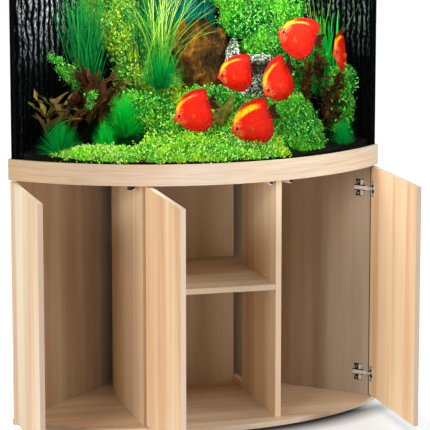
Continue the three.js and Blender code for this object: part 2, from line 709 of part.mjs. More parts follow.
// A bark-like panel stands against each side pane, from the filter to the front pane.
function rearPanels() {
  const top = FLANGE_Z - BARK_BELOW;
  const height = top - TANK_FLOOR;
  const length = LEG;
  const panel = new THREE.BoxGeometry(length, BARK, height, 16, 1, 10);
  const position = panel.attributes.position;
  for (let i = 0; i < position.count; i += 1) {
    if (position.getY(i) > 0) {
      const drop = BARK_RELIEF * relief(position.getX(i), position.getZ(i));
      position.setY(i, BARK / 2 - drop);
    }
  }
  panel.translate(length / 2 + FILTER_SIDE + 6 * SEAM, BARK / 2 + 2 * SEAM, height / 2 + TANK_FLOOR);
  const toTank = new THREE.Matrix4()
    .makeRotationZ(Math.PI + Math.PI / 4)
    .setPosition(0, HALF_CHORD - WATER_INSET * Math.SQRT2, 0);
  panel.applyMatrix4(toTank);
  const inside = prism(outline(0, WATER_INSET + 3 * SEAM), TANK_FLOOR - 1, RIM_Z);
  const fitted = common(panel, inside);
  for (const [side, group] of Object.entries(SIDES)) {
    add(group, "bark_panel_" + side, fitted, bark);
  }
}

// Height of the bed above the tank's floor: low at the front pane, higher towards the rear
// corner, and gently uneven.
function bedHeight(x, y) {
  const rise = THREE.MathUtils.smoothstep(y, frontY(0), HALF_CHORD - FILTER_SIDE * Math.SQRT2);
  const uneven = 5 * Math.sin(x * 0.017 + 1) * Math.cos(y * 0.014);
  return BED_FRONT + (BED_REAR - BED_FRONT) * rise + uneven * rise;
}

// What stands on the bed has a level seat in it.
const stoneSeat = seat(STONE_X, STONE_Y, STONE_RADIUS);
const pebbleSeat = seat(PEBBLE_X, PEBBLE_Y, PEBBLE_RADIUS);
const rootSeat = seat(WOOD_X, WOOD_Y, WOOD_RADIUS);

function seat(x, y, radius) {
  return { x, y, radius: radius + SEAT_MARGIN, z: TANK_FLOOR + bedHeight(x, y) };
}

function levelSeat(ground, { x, y, radius, z }) {
  const filled = join(ground, roundBar(radius, TANK_FLOOR, z).translate(x, y, 0));
  return cut(filled, roundBar(radius, z, RIM_Z).translate(x, y, 0));
}

function bed() {
  const width = 2 * HALF_CHORD;
  const depth = HALF_CHORD - frontY(0);
  const slab = new THREE.BoxGeometry(width, depth, 2, 20, 15, 1);
  slab.translate(0, frontY(0) + depth / 2, TANK_FLOOR + 1);
  const position = slab.attributes.position;
  for (let i = 0; i < position.count; i += 1) {
    if (position.getZ(i) > TANK_FLOOR + 1) {
      position.setZ(i, TANK_FLOOR + bedHeight(position.getX(i), position.getY(i)));
    }
  }
  const backInset = WATER_INSET + BARK + 4 * SEAM;
  const inside = prism(outline(backInset, WATER_INSET + SEAM), TANK_FLOOR - 1, RIM_Z);
  const corner = HALF_CHORD - WATER_INSET * Math.SQRT2;
  const side = (FILTER_SIDE + 6 * SEAM) * Math.SQRT2;
  const filterPlan = polygon([
    [0, corner + side],
    [-side, corner],
    [0, corner - side],
    [side, corner],
  ]);
  const room = prism(filterPlan, TANK_FLOOR - 1, RIM_Z);
  const ground = cut(common(slab, inside), room);
  const levelled = [stoneSeat, pebbleSeat, rootSeat].reduce(levelSeat, ground);
  add(aquarium, "planted_bed", levelled, gravel);
}

// A boulder: a faceted ball stretched or pressed to its height, with a level foot.
function boulder(name, place, radius, squash) {
  const ball = new THREE.IcosahedronGeometry(radius, 3);
  const position = ball.attributes.position;
  for (let i = 0; i < position.count; i += 1) {
    const p = new THREE.Vector3().fromBufferAttribute(position, i);
    const rough = 1 + 0.16 * Math.sin(p.x * 0.07 + 2) * Math.cos(p.y * 0.06 + p.z * 0.05);
    position.setXYZ(i, p.x * rough, p.y * rough * 0.8, p.z * rough * squash);
  }
  const footZ = -0.45 * radius * squash;
  const below = box(-2 * radius, 2 * radius, -2 * radius, 2 * radius, -4 * radius, footZ);
  const mesh = add(aquarium, name, cut(ball, below), stone);
  mesh.position.set(place.x, place.y, place.z + SEAM - footZ);
}

// A thick root stands on the bed and splits into three stubs.
function root() {
  const branch = (radius, ...points) => {
    const curve = new THREE.CatmullRomCurve3(points.map((p) => new THREE.Vector3(...p)));
    const section = new THREE.Shape().absarc(0, 0, radius, 0, 2 * Math.PI, false);
    const options = { steps: 8, extrudePath: curve, curveSegments: 4 };
    return new THREE.ExtrudeGeometry(section, options);
  };
  const h = WOOD_HEIGHT;
  const whole = join(
    branch(WOOD_RADIUS, [0, 0, -30], [8, 0, 0.25 * h], [-12, 10, 0.55 * h], [-50, 15, 0.88 * h]),
    branch(0.8 * WOOD_RADIUS, [-5, 5, 0.2 * h], [35, 20, 0.5 * h], [72, 25, 0.85 * h]),
    branch(0.7 * WOOD_RADIUS, [-8, 8, 0.5 * h], [5, 10, 0.75 * h], [12, 5, h]),
  );
  const below = box(-300, 300, -300, 300, -300, 0);
  const mesh = add(aquarium, "root_wood", cut(whole, below), driftwood);
  mesh.position.set(rootSeat.x, rootSeat.y, rootSeat.z + SEAM);
}

basePlate();
glides();
walls();
dividers();
shelfAndPanels();
doors();
frames();
panes();
lightBar();
lids();
filter();
rearPanels();
bed();
boulder("stone_large", stoneSeat, STONE_RADIUS, STONE_SQUASH);
boulder("stone_small", pebbleSeat, PEBBLE_RADIUS, PEBBLE_SQUASH);
root();

export default aquarium;
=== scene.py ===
"""A corner aquarium on its cabinet: the looks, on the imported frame."""

import math
import random

import bmesh
import bpy
from mathutils import Euler, Matrix, Vector, noise


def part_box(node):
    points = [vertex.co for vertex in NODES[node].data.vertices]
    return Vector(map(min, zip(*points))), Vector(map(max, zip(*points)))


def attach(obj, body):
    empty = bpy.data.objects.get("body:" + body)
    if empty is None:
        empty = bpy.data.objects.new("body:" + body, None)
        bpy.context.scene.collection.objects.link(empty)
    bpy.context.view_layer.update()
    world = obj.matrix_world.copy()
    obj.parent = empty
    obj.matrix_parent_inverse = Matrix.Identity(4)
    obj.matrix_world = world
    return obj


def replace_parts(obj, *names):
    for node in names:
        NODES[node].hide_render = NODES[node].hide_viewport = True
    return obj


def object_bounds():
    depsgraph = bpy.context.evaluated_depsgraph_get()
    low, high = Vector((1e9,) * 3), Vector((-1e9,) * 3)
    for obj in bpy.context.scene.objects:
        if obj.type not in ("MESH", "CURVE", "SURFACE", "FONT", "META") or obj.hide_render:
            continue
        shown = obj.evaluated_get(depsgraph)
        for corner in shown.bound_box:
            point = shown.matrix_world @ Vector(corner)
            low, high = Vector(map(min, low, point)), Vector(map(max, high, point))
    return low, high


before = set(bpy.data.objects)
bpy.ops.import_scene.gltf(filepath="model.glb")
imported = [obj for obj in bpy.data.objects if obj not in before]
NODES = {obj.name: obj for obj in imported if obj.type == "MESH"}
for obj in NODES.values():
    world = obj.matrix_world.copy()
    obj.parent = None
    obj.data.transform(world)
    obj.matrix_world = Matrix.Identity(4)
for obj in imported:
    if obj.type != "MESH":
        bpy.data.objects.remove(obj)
TANK = "cabinet_and_tank"
CAD_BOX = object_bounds()
FULL_TURN = 2 * math.pi
BLACK, WHITE = (0, 0, 0), (1, 1, 1)

# ---- camera
CAMERA_PLACE = (-2.032, -7.597, 2.060)
CAMERA_HEADING = 15.4  # degrees to the right of +Y
CAMERA_PITCH = 10.1  # degrees down
CAMERA_LENS = 208.2


def set_camera():
    data = bpy.data.cameras.new("camera")
    data.sensor_width = 36
    data.lens = CAMERA_LENS
    data.clip_end = 100
    camera = bpy.data.objects.new("camera", data)
    camera.location = CAMERA_PLACE
    camera.rotation_euler = (math.radians(90 - CAMERA_PITCH), 0, math.radians(-CAMERA_HEADING))
    bpy.context.scene.collection.objects.link(camera)
    bpy.context.scene.camera = camera


set_camera()


# ---- node helpers
def new_material(name):
    material = bpy.data.materials.new(name)
    material.use_nodes = True
    return material, material.node_tree, material.node_tree.nodes["Principled BSDF"]


def set_inputs(tree, node, inputs):
    """Feeds a node's inputs, each with another node's socket or a plain value."""
    for name, value in inputs.items():
        if isinstance(value, bpy.types.NodeSocket):
            tree.links.new(value, node.inputs[name])
        else:
            node.inputs[name].default_value = value


def add_node(tree, kind, inputs=None, **settings):
    """A new shader node with its own settings and inputs."""
    node = tree.nodes.new("ShaderNode" + kind)
    for name, value in settings.items():
        setattr(node, name, value)
    set_inputs(tree, node, inputs or {})
    return node


def calculate(tree, operation, first, second=0.0):
    """A sum, product or other calculation on one or two numbers."""
    return add_node(tree, "Math", {0: first, 1: second}, operation=operation).outputs[0]


def object_coordinates(tree, scale=(1, 1, 1)):
    """Object coordinates, stretched: a small scale makes long features along that axis."""
    place = add_node(tree, "TexCoord").outputs["Object"]
    return add_node(tree, "Mapping", {"Vector": place, "Scale": scale}).outputs["Vector"]


def split_place(tree):
    """The three object coordinates, by name."""
    return add_node(tree, "SeparateXYZ", {"Vector": object_coordinates(tree)}).outputs


def attribute(tree, name):
    return add_node(tree, "Attribute", attribute_name=name).outputs["Fac"]


def noise_pattern(tree, vector, scale, detail, roughness=0.55, distortion=0.0):
    inputs = {
        "Vector": vector, "Scale": scale, "Detail": detail,
        "Roughness": roughness, "Distortion": distortion,
    }
    return add_node(tree, "TexNoise", inputs).outputs["Fac"]


def cell_pattern(tree, scale):
    inputs = {"Vector": object_coordinates(tree), "Scale": scale}
    return add_node(tree, "TexVoronoi", inputs).outputs


def map_range(tree, value, low, high, to_low=0.0, to_high=1.0, kind="LINEAR"):
    """A value carried from one range to another, and held at the ends."""
    inputs = {
        "Value": value, "From Min": low, "From Max": high, "To Min": to_low, "To Max": to_high,
    }
    return add_node(tree, "MapRange", inputs, interpolation_type=kind).outputs["Result"]


def ramp(tree, value, *stops):
    """Colours by value: each stop is (position, (r, g, b))."""
    node = add_node(tree, "ValToRGB", {"Fac": value})
    elements = node.color_ramp.elements
    while len(elements) < len(stops):
        elements.new(0.5)
    for element, (position, colour) in zip(elements, stops):
        element.position = position
        element.color = (*colour, 1)
    return node.outputs["Color"]


def blend_colours(tree, factor, first, second, blend="MIX"):
    """Mixes two colours, each a socket or a plain colour."""
    node = add_node(tree, "Mix", {"Factor": factor}, data_type="RGBA", blend_type=blend)
    for name, value in (("A", first), ("B", second)):
        target = next(s for s in node.inputs if s.name == name and s.type == "RGBA")
        if isinstance(value, bpy.types.NodeSocket):
            tree.links.new(value, target)
        else:
            target.default_value = (*value, 1)
    return next(s for s in node.outputs if s.type == "RGBA")


def multiply(tree, share, first, second):
    return blend_colours(tree, share, first, second, "MULTIPLY")


def bump(tree, shader, height, distance, strength):
    inputs = {"Height": height, "Distance": distance, "Strength": strength}
    set_inputs(tree, shader, {"Normal": add_node(tree, "Bump", inputs).outputs["Normal"]})


def roughness_from(tree, shader, value, low, high):
    set_inputs(tree, shader, {"Roughness": map_range(tree, value, 0.0, 1.0, low, high)})


def coat(tree, shader, colour, roughness=None, mirror=None):
    """Gives the shader its colour and, where they are even, its roughness and mirroring."""
    inputs = {"Base Color": colour, "Roughness": roughness, "Specular IOR Level": mirror}
    set_inputs(tree, shader, {name: v for name, v in inputs.items() if v is not None})


def srgb(red, green, blue):
    """A colour written as 0 to 255 per channel, as linear values."""

    def linear(v):
        v /= 255
        return v / 12.92 if v <= 0.04045 else ((v + 0.055) / 1.055) ** 2.4

    return (linear(red), linear(green), linear(blue))


# ---- wood
TONE_PLACES = (0.36, 0.46, 0.54, 0.64)  # the four tones' places on the broad bands
BOARD_TONES = srgb(234, 194, 152), srgb(245, 210, 169), srgb(251, 221, 181), srgb(255, 234, 200)
LEVEL_TONES = srgb(212, 190, 162), srgb(225, 204, 176), srgb(234, 214, 187), srgb(241, 223, 199)
INNER_TONES = srgb(222, 194, 162), srgb(234, 208, 176), srgb(242, 220, 188), srgb(248, 229, 200)
BAND_TONES = srgb(233, 208, 181), srgb(238, 214, 189), srgb(242, 220, 196), srgb(246, 227, 205)
BAND_PAINTED_SHADE = (  # painted shade along the band's bend, from left to right: darkest at the left end
    (0.0, (0.60, 0.53, 0.40)), (0.12, (0.59, 0.54, 0.46)), (0.21, (0.59, 0.55, 0.49)),
    (0.31, (0.65, 0.59, 0.55)), (0.39, (0.72, 0.66, 0.62)), (0.47, (0.77, 0.77, 0.79)),
    (0.57, (0.84, 0.89, 0.93)), (0.68, (0.97, 1, 1)),
)
BAND_SHADE_TURNS = (-0.8, 0.6)  # the turn about the bend's centre where that painted shade starts and ends
BEND_CENTRE_Y = 0.581  # the band's grain turns about this point
LINING_SHADE = (0.76, 0.86, 1.0)  # painted shade: the lining of the left wall and the rear panel, darker and cooler inside than out
# painted shade: the right wall's lining, darker than the left wall's
RIGHT_LINING_SHADE = (0.60, 0.67, 0.78)
RIGHT_WALL_SHADE_SPAN = (0.38, 0.60)  # x where the right lining's painted shade starts to deepen, and is deepest
# painted shade: how dark the right lining gets at its front end
DEEPEST_PAINTED_SHADE = (0.66, 0.66, 0.66)


def wood_coat(tree, shader, colour, layers, pores):
    """Multiplies the (share, colour) layers in; the pores break up the sheen."""
    for share, layer in layers:
        colour = multiply(tree, share, colour, layer)
    coat(tree, shader, colour, mirror=0.3)
    roughness_from(tree, shader, pores, 0.46, 0.6)
    bump(tree, shader, pores, 0.0001, 0.3)


def wood_finish(name, grain_axis, tones):
    """Wood-look laminate: broad soft bands, finer streaks and pores along one axis."""
    material, tree, shader = new_material(name)

    def along(across, length):
        scale = [across] * 3
        scale["XYZ".index(grain_axis)] = length
        return object_coordinates(tree, scale)

    bands = noise_pattern(tree, along(8.5, 0.45), 1.0, 2.0, 0.45, 0.5)
    streaks = noise_pattern(tree, along(30.0, 0.8), 1.0, 2.0, 0.5, 0.4)
    pores = noise_pattern(tree, along(420.0, 7.0), 1.0, 2.0, 0.6)
    colour = ramp(tree, bands, *zip(TONE_PLACES, tones))
    figure = ramp(tree, streaks, (0.36, srgb(230, 214, 198)), (0.62, WHITE))
    ticks = ramp(tree, pores, (0.34, srgb(232, 222, 212)), (0.5, WHITE))
    wood_coat(tree, shader, colour, ((0.45, figure), (0.35, ticks)), pores)
    return material, tree, shader


def facing(tree, way):
    """How far the surface faces this way, from -1 to 1."""
    normal = add_node(tree, "TexCoord").outputs["Normal"]
    inputs = {0: normal, 1: way}
    return add_node(tree, "VectorMath", inputs, operation="DOT_PRODUCT").outputs["Value"]


def on_edges(tree, towards, low, high):
    """1 on a board's edges and 0 on its two faces."""
    return ramp(tree, calculate(tree, "ABSOLUTE", towards), (low, WHITE), (high, BLACK))


def wall_finish(name, inwards, inner_shade, edge=None, reach=None):
    """Wall wood: the doors' tone outside, a greyer and darker lining inside as painted shade; a
    reach deepens that shade along x, and an edge tone paints a shadow on the edges.
    """
    material, tree, shader = wood_finish(name, "Z", BOARD_TONES)
    grained = shader.inputs["Base Color"].links[0].from_socket
    towards = facing(tree, inwards)
    # painted shade: the inner face takes the darker, cooler lining tone
    shaded_lining = multiply(tree, 1.0, grained, ramp(tree, towards, (0.6, WHITE), (0.8, inner_shade)))
    if reach:
        # painted shade: the lining darkens along x towards the wall's front end
        share = map_range(tree, split_place(tree)["X"], *reach)
        drift = ramp(tree, share, (0.0, WHITE), (1.0, DEEPEST_PAINTED_SHADE))
        inside = ramp(tree, towards, (0.6, BLACK), (0.8, WHITE))
        shaded_lining = blend_colours(tree, inside, shaded_lining, multiply(tree, 1.0, shaded_lining, drift))
    # painted shadow: the board's edges take the given dark tone
    if edge:
        shaded_lining = blend_colours(tree, on_edges(tree, towards, 0.3, 0.5), shaded_lining, edge)
    coat(tree, shader, shaded_lining)
    return material


def square_to(node):
    """The level direction square to a standing board's face."""
    spots = [Vector((v.co.x, v.co.y, 0)) for v in node.data.vertices]
    first = max(spots, key=lambda p: (p - spots[0]).length)
    last = max(spots, key=lambda p: (p - first).length)
    along = (last - first).normalized()
    return Vector((-along.y, along.x, 0))


def edged_wood(name, node, tones, side_edge, top_edge_highlight):
    """Board wood whose edges wear an edge band of their own tone; the top edge takes a second tone,
    a painted highlight where it is lighter.
    """
    material, tree, shader = wood_finish(name, "Z", tones)
    grained = shader.inputs["Base Color"].links[0].from_socket
    on_edge = on_edges(tree, facing(tree, square_to(node)), 0.5, 0.7)
    edge_tone = ramp(tree, facing(tree, (0, 0, 1)), (0.4, side_edge), (0.6, top_edge_highlight))
    coat(tree, shader, blend_colours(tree, on_edge, grained, edge_tone))
    return material


def band_finish():
    """Wood-look band whose fine grain runs level, round the bend of the front; painted shade
    darkens it towards its left end.
    """
    material, tree, shader = new_material("wood_frame_band")
    place = split_place(tree)
    behind = calculate(tree, "SUBTRACT", BEND_CENTRE_Y, place["Y"])
    turn = calculate(tree, "ARCTAN2", place["X"], behind)
    level = add_node(tree, "CombineXYZ", {"X": turn, "Z": place["Z"]}).outputs[0]

    def grain(scale, detail):
        stretched = add_node(tree, "Mapping", {"Vector": level, "Scale": scale})
        return noise_pattern(tree, stretched.outputs["Vector"], 1.0, detail, 0.55, 0.2)

    hairs = grain((7.0, 1, 420), 1.0)
    colour = ramp(tree, grain((1.8, 1, 9), 2.0), *zip(TONE_PLACES, BAND_TONES))
    figure = ramp(tree, grain((1.8, 1, 120), 2.0), (0.36, srgb(228, 212, 196)), (0.6, WHITE))
    ticks = ramp(tree, hairs, (0.36, srgb(232, 222, 210)), (0.52, WHITE))
    # painted shade along the bend, darkest at the left end
    drift = ramp(tree, map_range(tree, turn, *BAND_SHADE_TURNS), *BAND_PAINTED_SHADE)
    wood_coat(tree, shader, colour, ((0.32, figure), (0.5, ticks), (1.0, drift)), hairs)
    return material


# ---- plastic, metal, glass and light
def plastic_finish(name, colour, roughness, mirror=0.5):
    material, tree, shader = new_material(name)
    speckle = noise_pattern(tree, object_coordinates(tree), 900.0, 2.0)
    shade = tuple(min(1, c * 1.35 + 0.004) for c in colour)
    coat(tree, shader, ramp(tree, speckle, (0.35, colour), (0.7, shade)), mirror=mirror)
    roughness_from(tree, shader, speckle, roughness - 0.06, roughness + 0.08)
    bump(tree, shader, speckle, 0.00008, 0.3)
    return material


def nickel_finish():
    material, tree, shader = new_material("nickel_plate")
    brushed = noise_pattern(tree, object_coordinates(tree, (900, 900, 60)), 1.0, 2.0)
    coat(tree, shader, ramp(tree, brushed, (0.3, srgb(226, 226, 228)), (0.7, srgb(246, 246, 247))))
    shader.inputs["Metallic"].default_value = 0.55
    roughness_from(tree, shader, brushed, 0.16, 0.3)
    bump(tree, shader, brushed, 0.00004, 0.25)
    return material


def glass_finish():
    """Clear panes: a faint film that lets nearly everything through."""
    material, tree, shader = new_material("clear_glass")
    smears = noise_pattern(tree, object_coordinates(tree), 7.0, 3.0)
    roughness_from(tree, shader, smears, 0.0, 0.02)
    tint = ramp(tree, smears, (0.3, srgb(14, 26, 22)), (0.7, srgb(20, 34, 30)))
    coat(tree, shader, tint, mirror=0.0)
    shader.inputs["Alpha"].default_value = 0.022
    return material


def lamp_tube_finish():
    material, tree, shader = new_material("lamp_tube_white")
    haze = noise_pattern(tree, object_coordinates(tree), 60.0, 2.0)
    colour = ramp(tree, haze, (0.3, srgb(238, 240, 236)), (0.7, srgb(250, 251, 248)))
    coat(tree, shader, colour, 0.2)
    set_inputs(tree, shader, {"Emission Color": colour, "Emission Strength": 1.5})
    return material


# ---- bark, gravel, stone, root and sponge
LEFT_CHALK, RIGHT_CHALK = srgb(196, 206, 208), srgb(100, 120, 106)
CHALK_HEIGHTS = (1.14, 1.31)  # the chalk fades in between these heights


def bark_finish(name, heading, ridge_scale, chalk_tone):
    """Black bark-like panel with chalky upright flecks that thin out towards the bed."""
    material, tree, shader = new_material(name)
    wall = add_node(
        tree, "VectorRotate",
        {"Vector": object_coordinates(tree), "Angle": math.radians(heading)},
        rotation_type="Z_AXIS",
    )
    ridges = add_node(
        tree, "TexWave",
        {
            "Vector": wall.outputs["Vector"], "Scale": ridge_scale,
            "Distortion": 4.0, "Detail": 2.5, "Detail Scale": 1.4,
        },
        bands_direction="X",
    ).outputs["Fac"]
    flecks = noise_pattern(tree, object_coordinates(tree, (1, 1, 0.35)), 210.0, 3.0, 0.7)
    crest = ramp(tree, ridges, (0.35, BLACK), (0.8, WHITE))
    grains = ramp(tree, flecks, (0.48, BLACK), (0.62, WHITE))
    risen = map_range(tree, split_place(tree)["Z"], *CHALK_HEIGHTS, 0.02)
    fade = ramp(tree, risen, (0.0, BLACK), (1.0, WHITE))
    chalk = multiply(tree, 1.0, multiply(tree, 1.0, crest, grains), fade)
    coat(tree, shader, blend_colours(tree, chalk, srgb(2, 4, 3), chalk_tone), 0.9, 0.0)
    bump(tree, shader, ridges, 0.005, 0.8)
    return material


def gravel_finish():
    material, tree, shader = new_material("dark_gravel")
    grains = cell_pattern(tree, 260)
    colour = ramp(tree, grains["Color"], (0.2, srgb(6, 7, 5)), (0.8, srgb(30, 30, 20)))
    coat(tree, shader, colour, 0.85, 0.03)
    bump(tree, shader, grains["Distance"], 0.002, 0.8)
    return material


def stone_finish():
    """Pale stone, speckled and pitted, with dark green growth in the hollows."""
    material, tree, shader = new_material("speckled_stone")
    coarse = noise_pattern(tree, object_coordinates(tree), 150.0, 4.0, 0.7, 0.6)
    patches = noise_pattern(tree, object_coordinates(tree), 16.0, 3.0, 0.6)
    body = ramp(
        tree, coarse,
        (0.43, srgb(4, 34, 24)), (0.51, srgb(104, 128, 108)), (0.57, srgb(246, 250, 226)),
    )
    worn = ramp(tree, patches, (0.42, srgb(92, 128, 108)), (0.56, WHITE))
    coat(tree, shader, multiply(tree, 0.8, body, worn), 0.75, 0.1)
    bump(tree, shader, coarse, 0.006, 0.9)
    return material


def root_finish():
    """Orange-brown root, brighter and darker in broad patches, with dark fibrous hollows."""
    material, tree, shader = new_material("orange_root_wood")
    broad = noise_pattern(tree, object_coordinates(tree), 13.0, 4.0, 0.6, 0.6)
    fibres = noise_pattern(tree, object_coordinates(tree, (130, 130, 60)), 1.0, 5.0, 0.7, 0.8)
    body = ramp(
        tree, broad, (0.40, srgb(44, 34, 16)), (0.50, srgb(76, 52, 18)),
        (0.58, srgb(114, 76, 22)), (0.68, srgb(176, 114, 28)),
    )
    worn = ramp(tree, fibres, (0.36, srgb(118, 96, 62)), (0.58, WHITE))
    coat(tree, shader, multiply(tree, 0.85, body, worn), 0.85, 0.1)
    bump(tree, shader, fibres, 0.006, 0.9)
    return material


def sponge_finish():
    material, tree, shader = new_material("blue_sponge")
    depth = cell_pattern(tree, 420)["Distance"]
    colour = ramp(tree, depth, (0.1, srgb(16, 40, 70)), (0.7, srgb(46, 104, 160)))
    coat(tree, shader, colour, 0.95)
    bump(tree, shader, depth, 0.0015, 1.0)
    return material


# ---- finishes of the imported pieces
black_plastic = plastic_finish("black_plastic", srgb(26, 26, 27), 0.42)
nickel = nickel_finish()


def dress(material, *names):
    """Gives this finish to the CAD nodes whose names start so."""
    for name, node in NODES.items():
        if name.startswith(names):
            node.data.materials.clear()
            node.data.materials.append(material)


def dress_boards(kind, tones, edges, top_edge_highlight=None):
    """Edge-banded boards of one kind, each with its own edge tone, which also carries painted light
    and shade, and a painted highlight on the top edges where given.
    """
    for side, edge in edges.items():
        board = NODES[kind + side]
        wood = edged_wood("wood_" + board.name, board, tones, edge, top_edge_highlight or edge)
        dress(wood, board.name)


# each door's edge-band tone, shifted per door as painted light and shade
DOOR_EDGES_LIT_AND_SHADED = {
    "left": srgb(190, 163, 142), "middle": srgb(210, 183, 164), "right": srgb(196, 169, 146),
}
# the left divider's edges are painted dark as the middle door's shadow; the right keeps the
# edge-band tone
DIVIDER_EDGES_LEFT_SHADOWED = {"left": srgb(166, 134, 106), "right": srgb(240, 214, 182)}
# the doors' top edges take a lighter tone, a painted highlight
dress_boards("door_", BOARD_TONES, DOOR_EDGES_LIT_AND_SHADED, srgb(255, 236, 206))
dress_boards("divider_", INNER_TONES, DIVIDER_EDGES_LEFT_SHADOWED)
DIAGONAL = math.sqrt(0.5)  # each part of a level way at 45 degrees
dress(wall_finish("wood_wall_left", (DIAGONAL, -DIAGONAL, 0), LINING_SHADE), "wall_left")
# the right wall: deeper painted shade inside, and edges painted dark as the shadow gap beside the
# door
dress(
    wall_finish(
        "wood_wall_right", (-DIAGONAL, -DIAGONAL, 0), RIGHT_LINING_SHADE,
        srgb(112, 84, 62), RIGHT_WALL_SHADE_SPAN,
    ),
    "wall_right",
)
dress(wall_finish("wood_rear_panel", (0, -1, 0), LINING_SHADE), "rear_panel")
level_wood = wood_finish("wood_carcass_grain_across", "X", LEVEL_TONES)[0]
dress(level_wood, "base_plate", "shelf", "top_board")
dress(band_finish(), "bottom_frame", "top_frame")
dress(nickel, "hinge_", "shelf_pin_")
dress(black_plastic, "glide_", "light_bar", "lid_", "filter_box", "pump", "catch_plunger_")
dress(plastic_finish("grey_plastic", srgb(168, 170, 172), 0.45), "heater")
dress(plastic_finish("pale_plastic", srgb(226, 222, 224), 0.4), "catch_body_")
dress(plastic_finish("dark_catch_plastic", srgb(10, 8, 8), 0.6), "catch_body_left")
dress(glass_finish(), "pane_")
dress(lamp_tube_finish(), "light_tube_")
dress(bark_finish("black_bark_left", -45, 10.0, LEFT_CHALK), "bark_panel_left")
dress(bark_finish("black_bark_right", 45, 17.0, RIGHT_CHALK), "bark_panel_right")
dress(gravel_finish(), "planted_bed")
dress(sponge_finish(), "filter_sponge")


# ---- making pieces
def mesh_of(name, shape):
    """The mesh of a shape that is done with."""
    mesh = bpy.data.meshes.new(name)
    shape.to_mesh(mesh)
    shape.free()
    return mesh


def object_of(name, mesh):
    made = bpy.data.objects.new(name, mesh)
    bpy.context.scene.collection.objects.link(made)
    return made


def piece_of(name, shape, material, smooth=True, body=TANK):
    """A finished shape becomes a piece that moves with a body."""
    mesh = mesh_of(name, shape)
    mesh.materials.append(material)
    for face in mesh.polygons:
        face.use_smooth = smooth
    piece = object_of(name, mesh)
    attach(piece, body)
    return piece


def append_shape(whole, part, matrix=None):
    """Adds one shape to another, at the place that the matrix gives."""
    if matrix:
        bmesh.ops.transform(part, matrix=matrix, verts=part.verts)
    carrier = mesh_of("carrier", part)
    whole.from_mesh(carrier)
    bpy.data.meshes.remove(carrier)


def turned(degrees, axis="Z"):
    return Matrix.Rotation(math.radians(degrees), 4, axis)


def block_of(x, y, z):
    return Matrix.Diagonal((x, y, z, 1))


# ---- hinges
def middle_of(node):
    """The mean of a node's corners."""
    return sum((v.co for v in node.data.vertices), Vector()) / len(node.data.vertices)


ARM_HALF = 0.017  # half the length of an arm that lies on its board


def plate_frame(node):
    """Mounting plate of a hinge arm: x along its board, y off the board, z up."""
    spots = [v.co for v in node.data.vertices]
    high, low = max(p.z for p in spots), min(p.z for p in spots)
    corners = [Vector((p.x, p.y, 0)) for p in spots if p.z > high - 0.0002]
    centre = sum(corners, Vector()) / len(corners)
    first = corners[0] - centre
    near = [c - centre for c in corners if (c - centre).dot(first) > 0]
    run = sum(near, Vector()).normalized()
    off = Vector((-run.y, run.x, 0))
    boards = (NODES[name] for name in ("wall_left", "wall_right", "divider_left", "divider_right"))
    ways = [(middle_of(board) - centre).dot(off) for board in boards]
    if min(ways, key=abs) > 0:
        off.negate()
    run = Vector((off.y, -off.x, 0))
    thick = max(abs((c - centre).dot(off)) for c in corners)
    spot = centre - off * thick
    seat = Matrix((run, off, Vector((0, 0, 1)))).transposed().to_4x4()
    seat.translation = (spot.x, spot.y, (high + low) / 2)
    outside = max(
        (p - seat.translation).dot(off)
        for p in spots
        if abs((p - seat.translation).dot(run)) < ARM_HALF
    )
    return seat, outside


def bevelled_block(shape, low, high, width, segments, taper=1.0):
    """A block between two corners with rounded edges; its far end may spread."""
    low, high = Vector(low), Vector(high)
    spot = Matrix.Translation((low + high) / 2)
    made = bmesh.ops.create_cube(shape, size=1, matrix=spot @ block_of(*(high - low)))["verts"]
    far = max((v.co.z for v in made), key=abs)
    for vert in made:
        if abs(vert.co.z - far) < 1e-6:
            vert.co.x *= taper
    edges = list(dict.fromkeys(e for v in made for e in v.link_edges))
    bmesh.ops.bevel(
        shape, geom=edges, offset=width, offset_type="OFFSET", segments=segments,
        profile=0.5, affect="EDGES", clamp_overlap=True, material=-1,
    )


def screw_head(shape, crosses, place, radius):
    """A low round head facing off the board, which the callers make black as painted shade, and the
    bright rims of its cross recess.
    """
    lying = Matrix.Translation(place) @ turned(-90, "X")
    bmesh.ops.create_cone(
        shape, cap_ends=True, segments=20, radius1=radius, radius2=radius * 0.8,
        depth=0.0012, matrix=lying @ Matrix.Translation((0, 0, 0.0006)),
    )
    top = lying @ Matrix.Translation((0, 0, 0.00125))
    for turn in (45, 135):
        bar = block_of(radius * 1.25, radius * 0.30, 0.0002)
        bmesh.ops.create_cube(crosses, size=1, matrix=top @ turned(turn) @ bar)


WING_BRIGHT = (0.0026, 0.0094)  # the bright flange of a butterfly wing, along the arm
WING_SHADE = (-0.0076, 0.0024)  # painted shade: a dark seat round its screw


